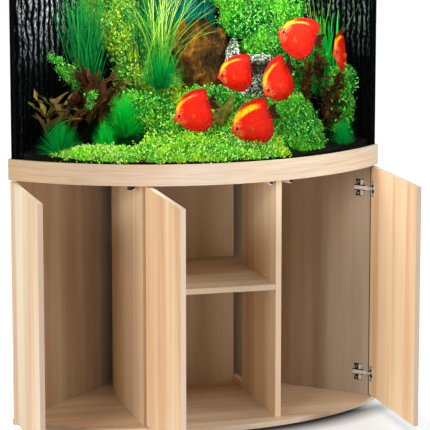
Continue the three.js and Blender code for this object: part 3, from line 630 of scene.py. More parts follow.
def hinge_arms(side):
    """Butterfly mounting plates and the covers over both arms of one door, with black backings,
    seats, screw heads and under-plates as painted shade.
    """
    plates, shade_and_screws = bmesh.new(), bmesh.new()
    for level in ("top", "bottom"):
        arm = NODES["hinge_arm_" + level + "_" + side]
        seat, outside = plate_frame(arm)
        ahead = math.copysign(1, (middle_of(arm) - seat.translation).dot(seat.col[0].xyz))
        bright = sorted(x * ahead for x in WING_BRIGHT)
        dark = sorted(x * ahead for x in WING_SHADE)
        tail, nose = sorted((-0.018 * ahead, 0.0)), sorted((-0.002 * ahead, 0.018 * ahead))
        part, painted_shade_parts = bmesh.new(), bmesh.new()
        for sign in (-1, 1):
            ends, back = (sorted((0.004 * sign, far * sign)) for far in (0.0262, 0.0278))
            for made, x, y, z, width, segments, taper in (
                (part, bright, (0.0012, 0.0028), ends, 0.0006, 2, 1.6),
                # painted shade: a black backing behind the wing, and a dark seat round its screw
                (painted_shade_parts, (-0.0078, 0.0078), (0.0003, 0.0013), back, 0.0003, 1, 2.0),
                (painted_shade_parts, dark, (0.0011, 0.0026), ends, 0.0004, 1, 1.7),
            ):
                low, high = zip(x, y, z)
                bevelled_block(made, low, high, width, segments, taper)
            screw_head(painted_shade_parts, part, (-0.0035 * ahead, 0.0026, 0.0190 * sign), 0.0042)
        for made, (x0, x1), half, top, width, segments in (
            (part, tail, 0.0042, outside + 0.0006, 0.0018, 3),
            (part, nose, 0.0062, outside + 0.0007, 0.0028, 4),
            # painted shade: a black plate under the arm cover, a dark outline round it
            (painted_shade_parts, (-0.0195, 0.0195), 0.0096, 0.0030, 0.0005, 1),
        ):
            bevelled_block(made, (x0, 0.0003, -half), (x1, top, half), width, segments)
        for x in (-0.010, 0.007):
            screw_head(painted_shade_parts, part, (x, outside + 0.0006, 0), 0.0030)
        append_shape(plates, part, seat)
        append_shape(shade_and_screws, painted_shade_parts, seat)
    piece_of("hinge_plates_" + side, plates, nickel, smooth=False)
    piece_of("hinge_shade_and_screws_" + side, shade_and_screws, black_plastic, smooth=False)


def hinge_cups(side):
    """Screws in the cup flanges, with their heads and a sleeve inside each cup black as painted
    shade, on the door.
    """
    screws, dark = bmesh.new(), bmesh.new()
    inwards = -1 if side == "right" else 1
    for level in ("top", "bottom"):
        low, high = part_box("hinge_cup_" + level + "_" + side)
        centre = (low + high) / 2
        face = low.x if inwards < 0 else high.x
        part, painted_shade_parts = bmesh.new(), bmesh.new()
        for sign in (-1, 1):
            screw_head(painted_shade_parts, part, (0, 0, 0.0218 * sign), 0.0036)
        # painted shade: a black sleeve lining the inside of the cup
        bmesh.ops.create_cone(
            painted_shade_parts, cap_ends=False, segments=40, radius1=0.0158, radius2=0.0158, depth=0.009,
            matrix=Matrix.Translation((0, -0.006, 0)) @ turned(90, "X"),
        )
        wall = [f for f in painted_shade_parts.faces if len(f.verts) == 4 and f.calc_area() > 1e-5]
        bmesh.ops.solidify(painted_shade_parts, geom=wall, thickness=0.0001)
        place = Matrix.Translation((face, centre.y, centre.z)) @ turned(-90 * inwards)
        append_shape(screws, part, place)
        append_shape(dark, painted_shade_parts, place)
    door = "door_" + side
    piece_of("hinge_cup_recess_" + side, screws, nickel, smooth=False, body=door)
    piece_of("hinge_cup_painted_shade_" + side, dark, black_plastic, smooth=False, body=door)


for side in ("left", "middle", "right"):
    hinge_arms(side)
    hinge_cups(side)


# ---- seams of the tank
def strip(shape, centre, length, thick, low, high, turn):
    """An upright strip, length by thick in plan, turned in degrees about the upright axis."""
    spot = Matrix.Translation((*centre, (low + high) / 2))
    matrix = spot @ turned(turn) @ block_of(length, thick, high - low)
    bmesh.ops.create_cube(shape, size=1, matrix=matrix)


def corner_seams():
    """Black sealant where the front pane meets each side pane, and the bark's short return."""
    black = plastic_finish("black_sealant", srgb(4, 4, 5), 0.8, 0.03)
    low, high = (corner.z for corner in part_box("pane_front"))
    for name, side in (("left", -1), ("right", 1)):
        shape = bmesh.new()
        strip(shape, (side * 0.5976, 0.0040), 0.0104, 0.0010, low, high, -45 * side)
        strip(shape, (side * 0.5904, 0.00395), 0.0114, 0.0002, low, high, 45 * side)
        piece_of("corner_seam_" + name, shape, black, smooth=False)
        rear = bmesh.new()
        strip(rear, (side * 0.5777, -0.00857), 0.0264, 0.0003, low, high, 45 * side)
        chalk = LEFT_CHALK if side < 0 else RIGHT_CHALK
        lining = bark_finish("black_bark_return_" + name, -45 * side, 10.0, chalk)
        piece_of("bark_return_" + name, rear, lining, smooth=False)

corner_seams()


# ---- room inside the tank
BED_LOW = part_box("planted_bed")[0].z  # the tank's inner floor
ARC_CENTRE_Y = 0.58075  # centre of the front pane's bend, on the middle plane
ARC_RADIUS = 0.8257  # inner face of the front pane
REAR_LIMIT = 0.548  # |x| + y at the bark panels
PLANT_TOP = 1.405  # no plant reaches higher
TUFT_MARGIN = 0.016  # the room a tuft needs to the pane and the bark


def pane_y(x):
    """The front pane's inner face at x."""
    return ARC_CENTRE_Y - math.sqrt(ARC_RADIUS**2 - x * x)


def past_bark(x, y, margin):
    """How far |x| + y goes past the bark panels; they stand at 45 degrees."""
    return abs(x) + y - (REAR_LIMIT - 1.4 * margin)


def in_tank(x, y, margin):
    """Whether a spot keeps clear of the front pane and the bark panels."""
    behind_pane = math.hypot(x, y - ARC_CENTRE_Y) < ARC_RADIUS - margin
    return behind_pane and past_bark(x, y, margin) < 0


# ---- plant finishes
WET = 0.1  # under water, leaves and stones hardly mirror


def leaf_finish(name, *tones, patch_scale=9.0, patch=None):
    """Leaves: each has its own tint, and patches of another tone drift through them."""
    material, tree, shader = new_material(name)
    last = len(tones) - 1
    stops = [(i / last, srgb(*tone)) for i, tone in enumerate(tones)]
    colour = ramp(tree, attribute(tree, "tint"), *stops)
    if patch:
        patches = noise_pattern(tree, object_coordinates(tree), patch_scale, 3.0, 0.6)
        mask = ramp(tree, patches, (0.46, BLACK), (0.6, WHITE))
        colour = blend_colours(tree, mask, colour, blend_colours(tree, 0.6, colour, srgb(*patch)))
    coat(tree, shader, colour, mirror=WET)
    veins = noise_pattern(tree, object_coordinates(tree), 600.0, 2.0)
    roughness_from(tree, shader, veins, 0.37, 0.6)
    return material


moss_green = leaf_finish(
    "moss_leaves", (0, 62, 20), (14, 132, 28), (66, 198, 38), (206, 246, 114),
    patch=(176, 218, 18),
)
moss_yellow = leaf_finish(
    "moss_leaves_yellow", (0, 52, 20), (20, 180, 38), (108, 238, 46), (248, 255, 160),
    patch=(194, 240, 12), patch_scale=7.0,
)
moss_light = leaf_finish(
    "moss_leaves_light", (0, 110, 30), (120, 232, 52), (206, 255, 72), (255, 255, 180),
    patch=(130, 240, 40), patch_scale=14.0,
)
moss_bank = leaf_finish(
    "moss_leaves_bank", (0, 58, 20), (30, 152, 34), (112, 202, 42), (216, 242, 120),
    patch=(180, 206, 20),
)
moss_deep = leaf_finish(
    "moss_leaves_deep", (0, 50, 24), (2, 120, 40), (42, 186, 50), (176, 242, 110),
    patch=(104, 206, 30),
)
hair_green = leaf_finish(
    "fine_hair_leaves", (0, 104, 34), (0, 158, 40), (0, 190, 48), (24, 214, 66)
)
hair_dark = leaf_finish(
    "fine_hair_leaves_dark", (0, 66, 40), (0, 120, 48), (0, 158, 56), (10, 184, 66)
)
grass_yellow = leaf_finish(
    "long_grass_yellow", (0, 72, 22), (20, 114, 28), (104, 162, 40), (206, 222, 110)
)
grass_green = leaf_finish("long_grass_green", (0, 34, 22), (0, 72, 30), (0, 110, 38), (30, 146, 52))
teal_leaves = leaf_finish("teal_leaves", (0, 50, 50), (0, 84, 80), (0, 112, 96), (30, 140, 110))
brown_leaves = leaf_finish(
    "red_brown_leaves", (24, 12, 6), (58, 30, 14), (98, 50, 26), (158, 82, 46),
    patch=(58, 58, 26), patch_scale=26.0,
)
olive_leaves = leaf_finish(
    "olive_leaves", (36, 34, 14), (80, 74, 32), (128, 118, 54), (178, 166, 88),
    patch=(112, 64, 34), patch_scale=22.0,
)
twig_brown = leaf_finish(
    "mossy_twig", (44, 40, 12), (80, 70, 22), (108, 96, 34), (140, 130, 60),
    patch=(60, 96, 20), patch_scale=40.0,
)
under_moss = leaf_finish("moss_in_shade", (0, 30, 10), (2, 56, 16), patch=(14, 66, 10))


# ---- small leaves
def leaf_tuft(seed, leaves, spread, length, width):
    """A loose clump of small pointed leaves about the origin."""
    rng = random.Random(seed)
    shape = bmesh.new()
    tint = shape.verts.layers.float.new("tint")
    for _ in range(leaves):
        place = Vector(rng.gauss(0, spread) for _ in range(3))
        place.z *= 0.6
        turn = Euler(rng.uniform(0, FULL_TURN) for _ in range(3)).to_matrix().to_4x4()
        grown = rng.uniform(0.6, 1.25)
        matrix = Matrix.Translation(place) @ turn @ block_of(length * grown, width * grown, 1)
        made = bmesh.ops.create_circle(shape, cap_ends=True, radius=1, segments=4, matrix=matrix)
        value = rng.random()
        for vert in made["verts"]:
            vert[tint] = value
    return mesh_of("tuft", shape)


TUFTS = [leaf_tuft(seed, 30, 0.011, 0.0062, 0.0032) for seed in range(8)]
FINE_TUFTS = [leaf_tuft(seed, 40, 0.010, 0.0046, 0.0022) for seed in range(20, 28)]


def scatter(name, places, material, tufts, seed):
    """Copies tufts to the places (point, size) as one piece."""
    rng = random.Random(seed)
    whole = bmesh.new()
    for point, size in places:
        copy = rng.choice(tufts).copy()
        turn = Euler((rng.uniform(-0.5, 0.5), rng.uniform(-0.5, 0.5), rng.uniform(0, FULL_TURN)))
        spun = turn.to_matrix().to_4x4() @ block_of(size, size, size)
        copy.transform(Matrix.Translation(point) @ spun)
        whole.from_mesh(copy)
        bpy.data.meshes.remove(copy)
    piece_of(name, whole, material, smooth=False)


def on_mound(mound, count, rng):
    """Points on the front and upper skin of a rounded mound (centre, radii)."""
    centre, radii = (Vector(part) for part in mound)
    found, tries = [], 0
    while tries < count:
        way = Vector(rng.gauss(0, 1) for _ in range(3)).normalized()
        if way.y > 0.45 or way.z < -0.75:
            continue
        tries += 1
        lump = 1 + 0.14 * noise.noise(centre * 9 + way * 2.2)
        point = centre + way * radii * lump
        if in_tank(point.x, point.y, TUFT_MARGIN) and point.z < PLANT_TOP:
            found.append((point, rng.uniform(0.8, 1.3)))
    return found


def moss_mounds(name, mounds, material, density, seed):
    """Moss over rounded mounds, with a dark core inside each."""
    rng = random.Random(seed)
    places = []
    core = bmesh.new()
    for mound in mounds:
        centre, (rx, ry, rz) = mound
        area = math.pi * (rx * rz + rx * ry + ry * rz) * 0.7
        places += on_mound(mound, int(area * density), rng)
        matrix = Matrix.Translation(centre) @ block_of(rx * 0.93, ry * 0.93, rz * 0.93)
        bmesh.ops.create_icosphere(core, subdivisions=3, radius=1, matrix=matrix)
    keep_in_tank(core, 0.012)
    piece_of(name + "_core", core, under_moss)
    scatter(name, places, material, FINE_TUFTS, seed)


def keep_in_tank(shape, margin):
    """Moves vertices that stray through a pane or a bark panel back inside."""
    for vert in shape.verts:
        x, y = vert.co.x, vert.co.y
        over = past_bark(x, y, margin)
        if over > 0:
            x -= math.copysign(over / 2, x)
            y -= over / 2
        from_centre = math.hypot(x, y - ARC_CENTRE_Y)
        if from_centre > ARC_RADIUS - margin:
            shrink = (ARC_RADIUS - margin) / from_centre
            x *= shrink
            y = ARC_CENTRE_Y + (y - ARC_CENTRE_Y) * shrink
        vert.co.x, vert.co.y = x, y
        vert.co.z = min(max(vert.co.z, BED_LOW + 0.002), PLANT_TOP)


# ---- moss carpet
CARPET_LEFT, CARPET_RIGHT = -0.30, 0.265
CARPET_TUFTS, LEFT_HUMP_TRIES, RIGHT_HUMP_TUFTS = 2100, 760, 1300
RIGHT_HUMP = (0.322, -0.040, 0.078, 0.085)  # x, y, half width, half depth
HUMPS = (  # x, y, radius, height
    (-0.41, -0.10, 0.060, 0.020),
    (-0.34, -0.14, 0.055, 0.022),
    (-0.18, -0.02, 0.09, 0.022),
    (0.03, 0.10, 0.07, 0.02),
    (0.320, -0.030, 0.070, 0.085),
    (0.345, -0.005, 0.055, 0.06),
    (0.24, 0.04, 0.07, 0.03),
)


def carpet_height(x, y):
    """Top of the moss: low at the pane and up to the middle of the tank, with soft humps."""
    from_left = 1 / (1 + math.exp(-(x - CARPET_LEFT) / 0.022))
    inside = from_left / (1 + math.exp((x - CARPET_RIGHT) / 0.03))
    depth = max(0.0, min(y, 0.17) - pane_y(x))
    height = BED_LOW + 0.030 + depth * (0.10 + 0.30 * inside)
    for hx, hy, radius, rise in HUMPS:
        height += rise * math.exp(-((x - hx) ** 2 + (y - hy) ** 2) / radius**2)
    return height + 0.010 * noise.noise(Vector((x * 16, y * 16, 0.3)))


def moss_carpet():
    ground = bmesh.new()
    bmesh.ops.create_grid(ground, x_segments=96, y_segments=56, size=0.5)
    for vert in ground.verts:
        x = vert.co.x * 1.13
        front, rear = pane_y(x) + 0.012, min(0.24, REAR_LIMIT - 0.02 - abs(x))
        y = front + (rear - front) * (vert.co.y + 0.5)
        at_pane = vert.co.y < -0.499
        vert.co = (x, y, BED_LOW + 0.004 if at_pane else carpet_height(x, y) - 0.010)
    keep_in_tank(ground, 0.010)
    piece_of("moss_ground", ground, under_moss)
    rng = random.Random(4)
    front_places, rear_places, left_places, right_places = [], [], [], []
    while len(front_places) + len(rear_places) < CARPET_TUFTS:
        x, y = rng.uniform(-0.33, 0.245), rng.uniform(-0.25, 0.20)
        if not in_tank(x, y, TUFT_MARGIN):
            continue
        left_edge = -0.20 - 0.35 * y - 0.03 * math.sin(y * 40)
        if x < left_edge and y > -0.12:
            continue
        near = y - pane_y(x) < 0.16 + 0.05 * noise.noise(Vector((x * 12, y * 12, 2.0)))
        point = Vector((x, y, carpet_height(x, y) + rng.uniform(-0.004, 0.006)))
        (front_places if near else rear_places).append((point, rng.uniform(0.7, 1.15)))
    for _ in range(LEFT_HUMP_TRIES):
        x = rng.uniform(-0.475, -0.27)
        y = pane_y(x) + 0.016 + 0.060 * rng.random() ** 1.3
        top = carpet_height(x, y) + 0.004
        if y - pane_y(x) < 0.03:
            top = BED_LOW + 0.028 + (top - BED_LOW - 0.028) * rng.random()
        if in_tank(x, y, 0.015):
            left_places.append((Vector((x, y, top)), rng.uniform(0.65, 1.0)))
    hump_x, hump_y, wide, deep = RIGHT_HUMP
    while len(right_places) < RIGHT_HUMP_TUFTS:
        turn, far = rng.uniform(0, FULL_TURN), math.sqrt(rng.random())
        x, y = hump_x + wide * far * math.cos(turn), hump_y + deep * far * math.sin(turn)
        top = carpet_height(x, y) + 0.004
        if far > 0.8:
            top -= 0.045 * rng.random()
        if in_tank(x, y, TUFT_MARGIN):
            right_places.append((Vector((x, y, top)), rng.uniform(0.7, 1.1)))
    scatter("moss_carpet_front", front_places, moss_yellow, FINE_TUFTS, 2)
    scatter("moss_carpet_rear", rear_places, moss_green, TUFTS, 3)
    scatter("moss_hump_left", left_places, moss_light, FINE_TUFTS, 4)
    scatter("moss_hump_right", right_places, moss_deep, FINE_TUFTS, 5)


moss_carpet()
moss_mounds(
    "moss_bank_left",
    [
        ((-0.255, 0.235, 1.365), (0.070, 0.055, 0.075)),
        ((-0.225, 0.225, 1.290), (0.070, 0.055, 0.075)),
        ((-0.175, 0.215, 1.220), (0.070, 0.055, 0.070)),
        ((-0.140, 0.210, 1.150), (0.070, 0.055, 0.065)),
        ((-0.150, 0.195, 1.085), (0.060, 0.055, 0.060)),
        ((-0.075, 0.190, 1.045), (0.060, 0.055, 0.045)),
    ],
    moss_bank, 13000, seed=6,
)
moss_mounds(
    "moss_bank_right",
    [
        ((0.200, 0.225, 1.360), (0.085, 0.055, 0.060)),
        ((0.275, 0.205, 1.340), (0.080, 0.060, 0.075)),
        ((0.330, 0.165, 1.290), (0.070, 0.060, 0.080)),
        ((0.240, 0.205, 1.270), (0.080, 0.055, 0.070)),
        ((0.320, 0.155, 1.200), (0.065, 0.055, 0.070)),
        ((0.285, 0.180, 1.190), (0.065, 0.055, 0.055)),
        ((0.345, 0.130, 1.110), (0.045, 0.042, 0.050)),
        ((0.335, 0.135, 1.040), (0.050, 0.048, 0.050)),
        ((0.325, 0.130, 0.970), (0.060, 0.055, 0.055)),
    ],
    moss_deep, 11000, seed=7,
)
moss_mounds(
    "moss_by_right_pane",
    [
        ((0.495, 0.018, 1.080), (0.028, 0.022, 0.040)),
        ((0.488, 0.020, 1.020), (0.032, 0.022, 0.050)),
        ((0.480, 0.018, 0.960), (0.030, 0.022, 0.050)),
    ],
    moss_deep, 12000, seed=9,
)
moss_mounds(
    "moss_behind_fish",
    [
        ((0.080, 0.120, 1.010), (0.100, 0.050, 0.035)),
        ((0.200, 0.060, 0.975), (0.080, 0.050, 0.040)),
        ((-0.170, 0.070, 1.000), (0.080, 0.060, 0.045)),
    ],
    moss_deep, 12000, seed=8,
)


# ---- blades and broad leaves
BLADE_BATCH = 50  # operators slow down on a large shape, so blades are made in batches


def grown(name, count, make, material):
    """Calls make(shape, tint layer, number) for each blade; small batches become one piece."""
    whole = bmesh.new()
    for start in range(0, count, BLADE_BATCH):
        batch = bmesh.new()
        tint = batch.verts.layers.float.new("tint")
        for number in range(start, min(start + BLADE_BATCH, count)):
            make(batch, tint, number)
        append_shape(whole, batch)
    keep_in_tank(whole, 0.004)
    piece_of(name, whole, material)


def ribbon(shape, tint, points, width, side, shade, taper=1.5):
    """One narrow leaf: a strip bent along the points, lighter towards its tip."""
    last = len(points) - 1
    made = bmesh.ops.create_grid(shape, x_segments=1, y_segments=last, size=0.5)
    for vert in made["verts"]:
        along = round((vert.co.y + 0.5) * last)
        half = width * (1 - (along / last) ** taper * 0.92) / 2
        vert.co = points[along] + side * math.copysign(half, vert.co.x)
        vert[tint] = min(1.0, max(0.0, shade + 0.45 * along / last))


HAIR_WIDTH = 0.0017


def hair_bush(name, root, radii, blades, material, seed):
    """A dome of fine hair-like leaves from one foot."""
    rng = random.Random(seed)
    across, tall = radii

    def make(shape, tint, number):
        turn = rng.uniform(0, FULL_TURN)
        slope = math.acos(rng.uniform(0.05, 1.0))
        lean = math.atan2(math.sin(slope) * across, math.cos(slope) * tall)
        reach = rng.uniform(0.8, 1.04)
        reach *= math.hypot(math.sin(slope) * across, math.cos(slope) * tall)
        out = Vector((math.cos(turn), math.sin(turn), 0))
        foot = Vector(root) + out * across * 0.35 * rng.random() * math.sin(lean)
        points = []
        for step in range(5):
            t = step / 4
            a = lean * (0.55 + 0.45 * t)
            points.append(foot + (out * math.sin(a) + Vector((0, 0, math.cos(a)))) * reach * t)
        side = Vector((-math.sin(turn), math.cos(turn), 0))
        side = (side + Vector(rng.gauss(0, 0.5) for _ in range(3))).normalized()
        ribbon(shape, tint, points, HAIR_WIDTH, side, rng.uniform(0.05, 0.6))

    grown(name, blades, make, material)


def grass_fan(
    name, root, blades, length, spread, material, seed, width, droop,
    gather=0.35, shade=(0.1, 0.6), foot=(0.010, 0.008), lean=0.0, stray=0.15,
):
    """Long grass: blades rise together from the foot, then fan out and bend over."""
    rng = random.Random(seed)

    def make(shape, tint, number):
        way = lean + spread * rng.uniform(-1, 1) * rng.random() ** 0.35
        depth = 0.35 * spread * rng.uniform(-1, 1)
        long = rng.uniform(*length)
        bend = droop * rng.random() ** 1.6
        start = Vector((rng.gauss(0, foot[0]), rng.gauss(0, foot[1]), rng.uniform(-0.01, 0.01)))
        start += Vector(root)
        sway, phase = rng.gauss(0, stray * 0.1), rng.uniform(0, FULL_TURN)
        points = []
        for step in range(13):
            t = step / 12
            fan = gather * t + (1 - gather) * t**2
            out = long * (way * fan * (1 + bend) + sway * math.sin(t * 5 + phase))
            rise = long * (t - bend * abs(way) * t**3)
            points.append(start + Vector((out, long * depth * fan, rise)))
        side = Vector((1, rng.uniform(-0.8, 0.8), 0)).normalized()
        broad = width * rng.uniform(0.6, 1.3)
        ribbon(shape, tint, points, broad, side, rng.uniform(*shade), taper=3)

    grown(name, blades, make, material)


hair_bush("hair_bush_front_left", (-0.452, -0.045, 0.868), (0.072, 0.132), 900, hair_dark, 31)
hair_bush("hair_bush_low_left", (-0.322, -0.090, 0.875), (0.046, 0.128), 620, hair_green, 32)
hair_bush("hair_bush_middle_left", (-0.245, -0.030, 0.925), (0.064, 0.150), 1000, hair_green, 33)
hair_bush("hair_bush_right", (0.474, -0.055, 0.858), (0.044, 0.118), 640, hair_dark, 34)
hair_bush("grass_foot_centre", (-0.100, 0.060, 1.065), (0.076, 0.145), 620, hair_dark, 35)
grass_fan(
    "grass_fan_centre", (-0.100, 0.080, 1.085), 66, (0.24, 0.40), 0.62, grass_yellow, 36,
    width=0.0026, droop=1.0, foot=(0.022, 0.008), lean=0.12, gather=0.2, shade=(0.15, 0.6),
)
grass_fan(
    "grass_fan_centre_rear", (-0.130, 0.150, 1.120), 80, (0.20, 0.29), 0.50, grass_green, 46,
    width=0.0028, droop=0.5, foot=(0.035, 0.012), lean=-0.05, gather=0.5,
)
grass_fan(
    "grass_tuft_left", (-0.338, 0.110, 1.000), 165, (0.30, 0.42), 0.26, grass_green, 37,
    width=0.0028, droop=0.4, gather=0.2, foot=(0.014, 0.010), shade=(0.0, 0.6), stray=0.3,
)
grass_fan(
    "grass_tuft_left_low", (-0.325, 0.100, 1.000), 90, (0.12, 0.24), 0.30, grass_green, 47,
    width=0.0026, droop=0.6, gather=0.3, foot=(0.014, 0.010), shade=(0.0, 0.5), stray=0.3,
)
grass_fan(
    "thin_grass_right", (0.425, 0.050, 1.030), 26, (0.26, 0.38), 0.40, grass_yellow, 38,
    width=0.0022, droop=1.3, shade=(0.1, 0.45), lean=-0.12, gather=0.5,
)
grass_fan(
    "broad_grass_right", (0.440, 0.060, 1.040), 46, (0.12, 0.27), 0.16, hair_green, 39,
    width=0.012, droop=0.4, shade=(0.1, 0.6), foot=(0.022, 0.008), gather=0.7,
)
grass_fan(
    "teal_plants_behind", (0.080, 0.265, 1.150), 90, (0.16, 0.26), 0.40, teal_leaves, 40,
    width=0.012, droop=0.4, shade=(0.0, 0.5), foot=(0.03, 0.008),
)
grass_fan(
    "teal_plants_left", (-0.020, 0.265, 1.130), 70, (0.16, 0.27), 0.35, teal_leaves, 41,
    width=0.010, droop=0.3, shade=(0.0, 0.5), foot=(0.03, 0.008),
)


def broad_leaf(shape, tint, root, heading, tilt, length, width, curl, wave, shade):
    """One broad leaf with a fold along its middle, rippled edges and a curled tip."""
    made = bmesh.ops.create_grid(shape, x_segments=4, y_segments=8, size=0.5)
    turn = Matrix.Rotation(heading, 3, "Z")
    phase = (root.x + root.y) * 300
    for vert in made["verts"]:
        t, u = vert.co.y + 0.5, vert.co.x * 2
        half = width / 2 * math.sin(math.pi * (0.06 + 0.93 * t) ** 0.85) ** 0.8
        lift = tilt - curl * t
        out = length * (math.sin(tilt) - math.sin(lift)) / curl
        up = length * (math.cos(lift) - math.cos(tilt)) / curl
        ripple = wave * math.sin(t * 17 + phase + u) * abs(u)
        raised = 0.35 * half * abs(u) + ripple
        place = Vector((u * half, out - math.sin(lift) * raised, up + math.cos(lift) * raised))
        vert.co = root + turn @ place
        vert[tint] = min(1, max(0, shade + 0.25 * t - 0.15 * abs(u)))


def leafy_plant(name, stems, material, seed, rise_range=(0.25, 1.25), ripple=0.0035):
    """Broad leaves in whorls: stems are (foot, height, leaf count, leaf length, leaf width)."""
    low, high = rise_range
    rng = random.Random(seed)
    leaves = []
    for foot, height, count, length, width in stems:
        for i in range(count):
            rise = height * (i + 0.5) / count
            at = Vector(foot) + Vector((rng.gauss(0, 0.006), rng.gauss(0, 0.006), rise))
            leaves.append((
                at, rng.uniform(0, FULL_TURN), rng.uniform(low, high),
                length * rng.uniform(0.7, 1.2), width * rng.uniform(0.75, 1.2),
                rng.uniform(0.2, 1.3), rng.uniform(0.0, ripple), rng.uniform(0.1, 0.75),
            ))

    def make(shape, tint, number):
        broad_leaf(shape, tint, *leaves[number])

    grown(name, len(leaves), make, material)


leafy_plant(
    "red_leaves_left",
    [
        ((-0.345, 0.030, 0.955), 0.11, 20, 0.125, 0.036),
        ((-0.295, 0.030, 0.945), 0.10, 16, 0.120, 0.030),
        ((-0.390, 0.045, 0.940), 0.07, 12, 0.105, 0.030),
    ],
    brown_leaves, 51, rise_range=(0.85, 1.5), ripple=0.007,
)
leafy_plant(
    "olive_leaves_left",
    [
        ((-0.482, 0.010, 0.930), 0.07, 12, 0.125, 0.024),
        ((-0.425, 0.035, 0.930), 0.07, 14, 0.115, 0.024),
    ],
    olive_leaves, 52, rise_range=(0.6, 1.35), ripple=0.006,
)
leafy_plant(
    "red_leaves_right",
    [
        ((0.368, -0.005, 0.990), 0.13, 46, 0.042, 0.017),
        ((0.405, 0.005, 1.075), 0.07, 26, 0.042, 0.016),
        ((0.436, -0.010, 0.930), 0.13, 40, 0.042, 0.016),
        ((0.462, -0.015, 0.940), 0.15, 50, 0.042, 0.016),
    ],
    brown_leaves, 53, rise_range=(0.3, 1.4),
)


def sprig(name, stems, material, seed):
    """Stems set with small leaves: each stem is (foot, tip, tuft count, spread)."""
    rng = random.Random(seed)
    places = []
    for foot, tip, count, spread in stems:
        foot, tip = Vector(foot), Vector(tip)
        for i in range(count):
            at = foot.lerp(tip, (i + 0.5) / count)
            at += Vector(rng.gauss(0, spread) for _ in range(3))
            if in_tank(at.x, at.y, 0.010):
                places.append((at, rng.uniform(0.55, 0.95)))
    scatter(name, places, material, FINE_TUFTS, seed)


sprig(
    "bright_sprigs_left",
    [
        ((-0.385, 0.085, 1.090), (-0.462, 0.060, 1.190), 26, 0.007),
        ((-0.370, 0.085, 1.070), (-0.400, 0.060, 1.140), 16, 0.007),
    ],
    moss_deep, 61,
)
sprig(
    "small_sprig_left", [((-0.352, -0.030, 1.015), (-0.345, -0.035, 1.080), 9, 0.006)],
    moss_deep, 63,
)
sprig(
    "bright_sprigs_right",
    [
        ((0.395, 0.060, 1.090), (0.400, 0.050, 1.170), 16, 0.010),
        ((0.430, 0.050, 1.080), (0.440, 0.040, 1.160), 14, 0.010),
        ((0.500, 0.005, 1.030), (0.506, 0.000, 1.110), 16, 0.007),
    ],
    moss_deep, 62,
)

# ---- root and stones
def fused(name, shape, voxel, material, rough):
    """Fuses overlapping lumps into one skin and weathers it by rough(point)."""
    mesh = mesh_of(name + "_lumps", shape)
    lumps = object_of(name + "_lumps", mesh)
    skin = lumps.modifiers.new("skin", "REMESH")
    skin.mode = "VOXEL"
    skin.voxel_size = voxel
    bpy.context.view_layer.update()
    whole = bmesh.new()
    whole.from_mesh(lumps.evaluated_get(bpy.context.evaluated_depsgraph_get()).data)
    bpy.data.objects.remove(lumps)
    bpy.data.meshes.remove(mesh)
    whole.normal_update()
    moved = [(vert, vert.normal * rough(vert.co)) for vert in whole.verts]
    for vert, step in moved:
        vert.co += step
    return piece_of(name, whole, material)


LIMB_SIDES = 14


def limb(shape, points, radii):
    """A tapering limb: a ring carried from point to point and closed at both ends."""
    points = [Vector(p) for p in points]
    ring = bmesh.ops.create_circle(shape, cap_ends=True, radius=1, segments=LIMB_SIDES)["verts"]
    face = ring[0].link_faces[0]
    turn = (points[1] - points[0]).to_track_quat("Z", "Y").to_matrix()
    for vert in ring:
        vert.co = points[0] + turn @ (vert.co * radii[0])
    for i in range(1, len(points)):
        made = bmesh.ops.extrude_face_region(shape, geom=[face])["geom"]
        ring = [g for g in made if isinstance(g, bmesh.types.BMVert)]
        old = face
        face = [g for g in made if isinstance(g, bmesh.types.BMFace)][0]
        if i > 1:
            bmesh.ops.delete(shape, geom=[old], context="FACES_ONLY")
        ahead = points[min(i + 1, len(points) - 1)] - points[i - 1]
        carry_ring(ring, points[i - 1], points[i], ahead, radii[i])


def carry_ring(ring, before, centre, ahead, radius):
    """Moves an extruded ring to its next place and size, square to the way ahead."""
    way = ahead.normalized()
    for vert in ring:
        spoke = vert.co - before
        spoke -= way * spoke.dot(way)
        vert.co = centre + spoke.normalized() * radius


ROOT_LIMBS = (  # each limb's (point, radius) from its foot to its tip
    (
        ((0.075, 0.215, 0.92), 0.088), ((0.075, 0.215, 1.02), 0.084), ((0.055, 0.220, 1.12), 0.074),
        ((0.020, 0.222, 1.20), 0.048), ((-0.005, 0.225, 1.262), 0.022),
    ),
    (
        ((0.085, 0.215, 1.00), 0.070), ((0.095, 0.215, 1.10), 0.066),
        ((0.112, 0.220, 1.18), 0.060), ((0.122, 0.225, 1.235), 0.034),
    ),
    (((0.070, 0.215, 1.05), 0.062), ((0.065, 0.218, 1.16), 0.058), ((0.070, 0.222, 1.265), 0.030)),
    (((0.030, 0.200, 0.98), 0.050), ((0.000, 0.190, 1.03), 0.040), ((-0.015, 0.190, 1.075), 0.022)),
    (((0.120, 0.200, 1.02), 0.048), ((0.150, 0.190, 1.06), 0.040), ((0.158, 0.195, 1.12), 0.028)),
)
TWIG_LIMBS = (
    (
        ((0.045, -0.045, 0.925), 0.020), ((0.052, -0.040, 0.955), 0.019),
        ((0.075, -0.035, 0.985), 0.019), ((0.098, -0.030, 1.010), 0.016),
        ((0.108, -0.028, 1.045), 0.007),
    ),
    (
        ((0.070, -0.036, 0.975), 0.013), ((0.060, -0.030, 1.000), 0.012),
        ((0.066, -0.026, 1.030), 0.006),
    ),
)
STONE_LUMPS = (  # centre, radii, turn
    ((0.165, 0.150, 1.060), (0.030, 0.028, 0.150), 0.3),
    ((0.205, 0.135, 1.000), (0.045, 0.042, 0.130), 0.0),
    ((0.245, 0.120, 1.020), (0.042, 0.036, 0.110), 0.6),
    ((0.270, 0.110, 0.960), (0.034, 0.034, 0.090), 0.0),
    ((0.242, 0.105, 1.140), (0.046, 0.030, 0.018), 0.2),
)
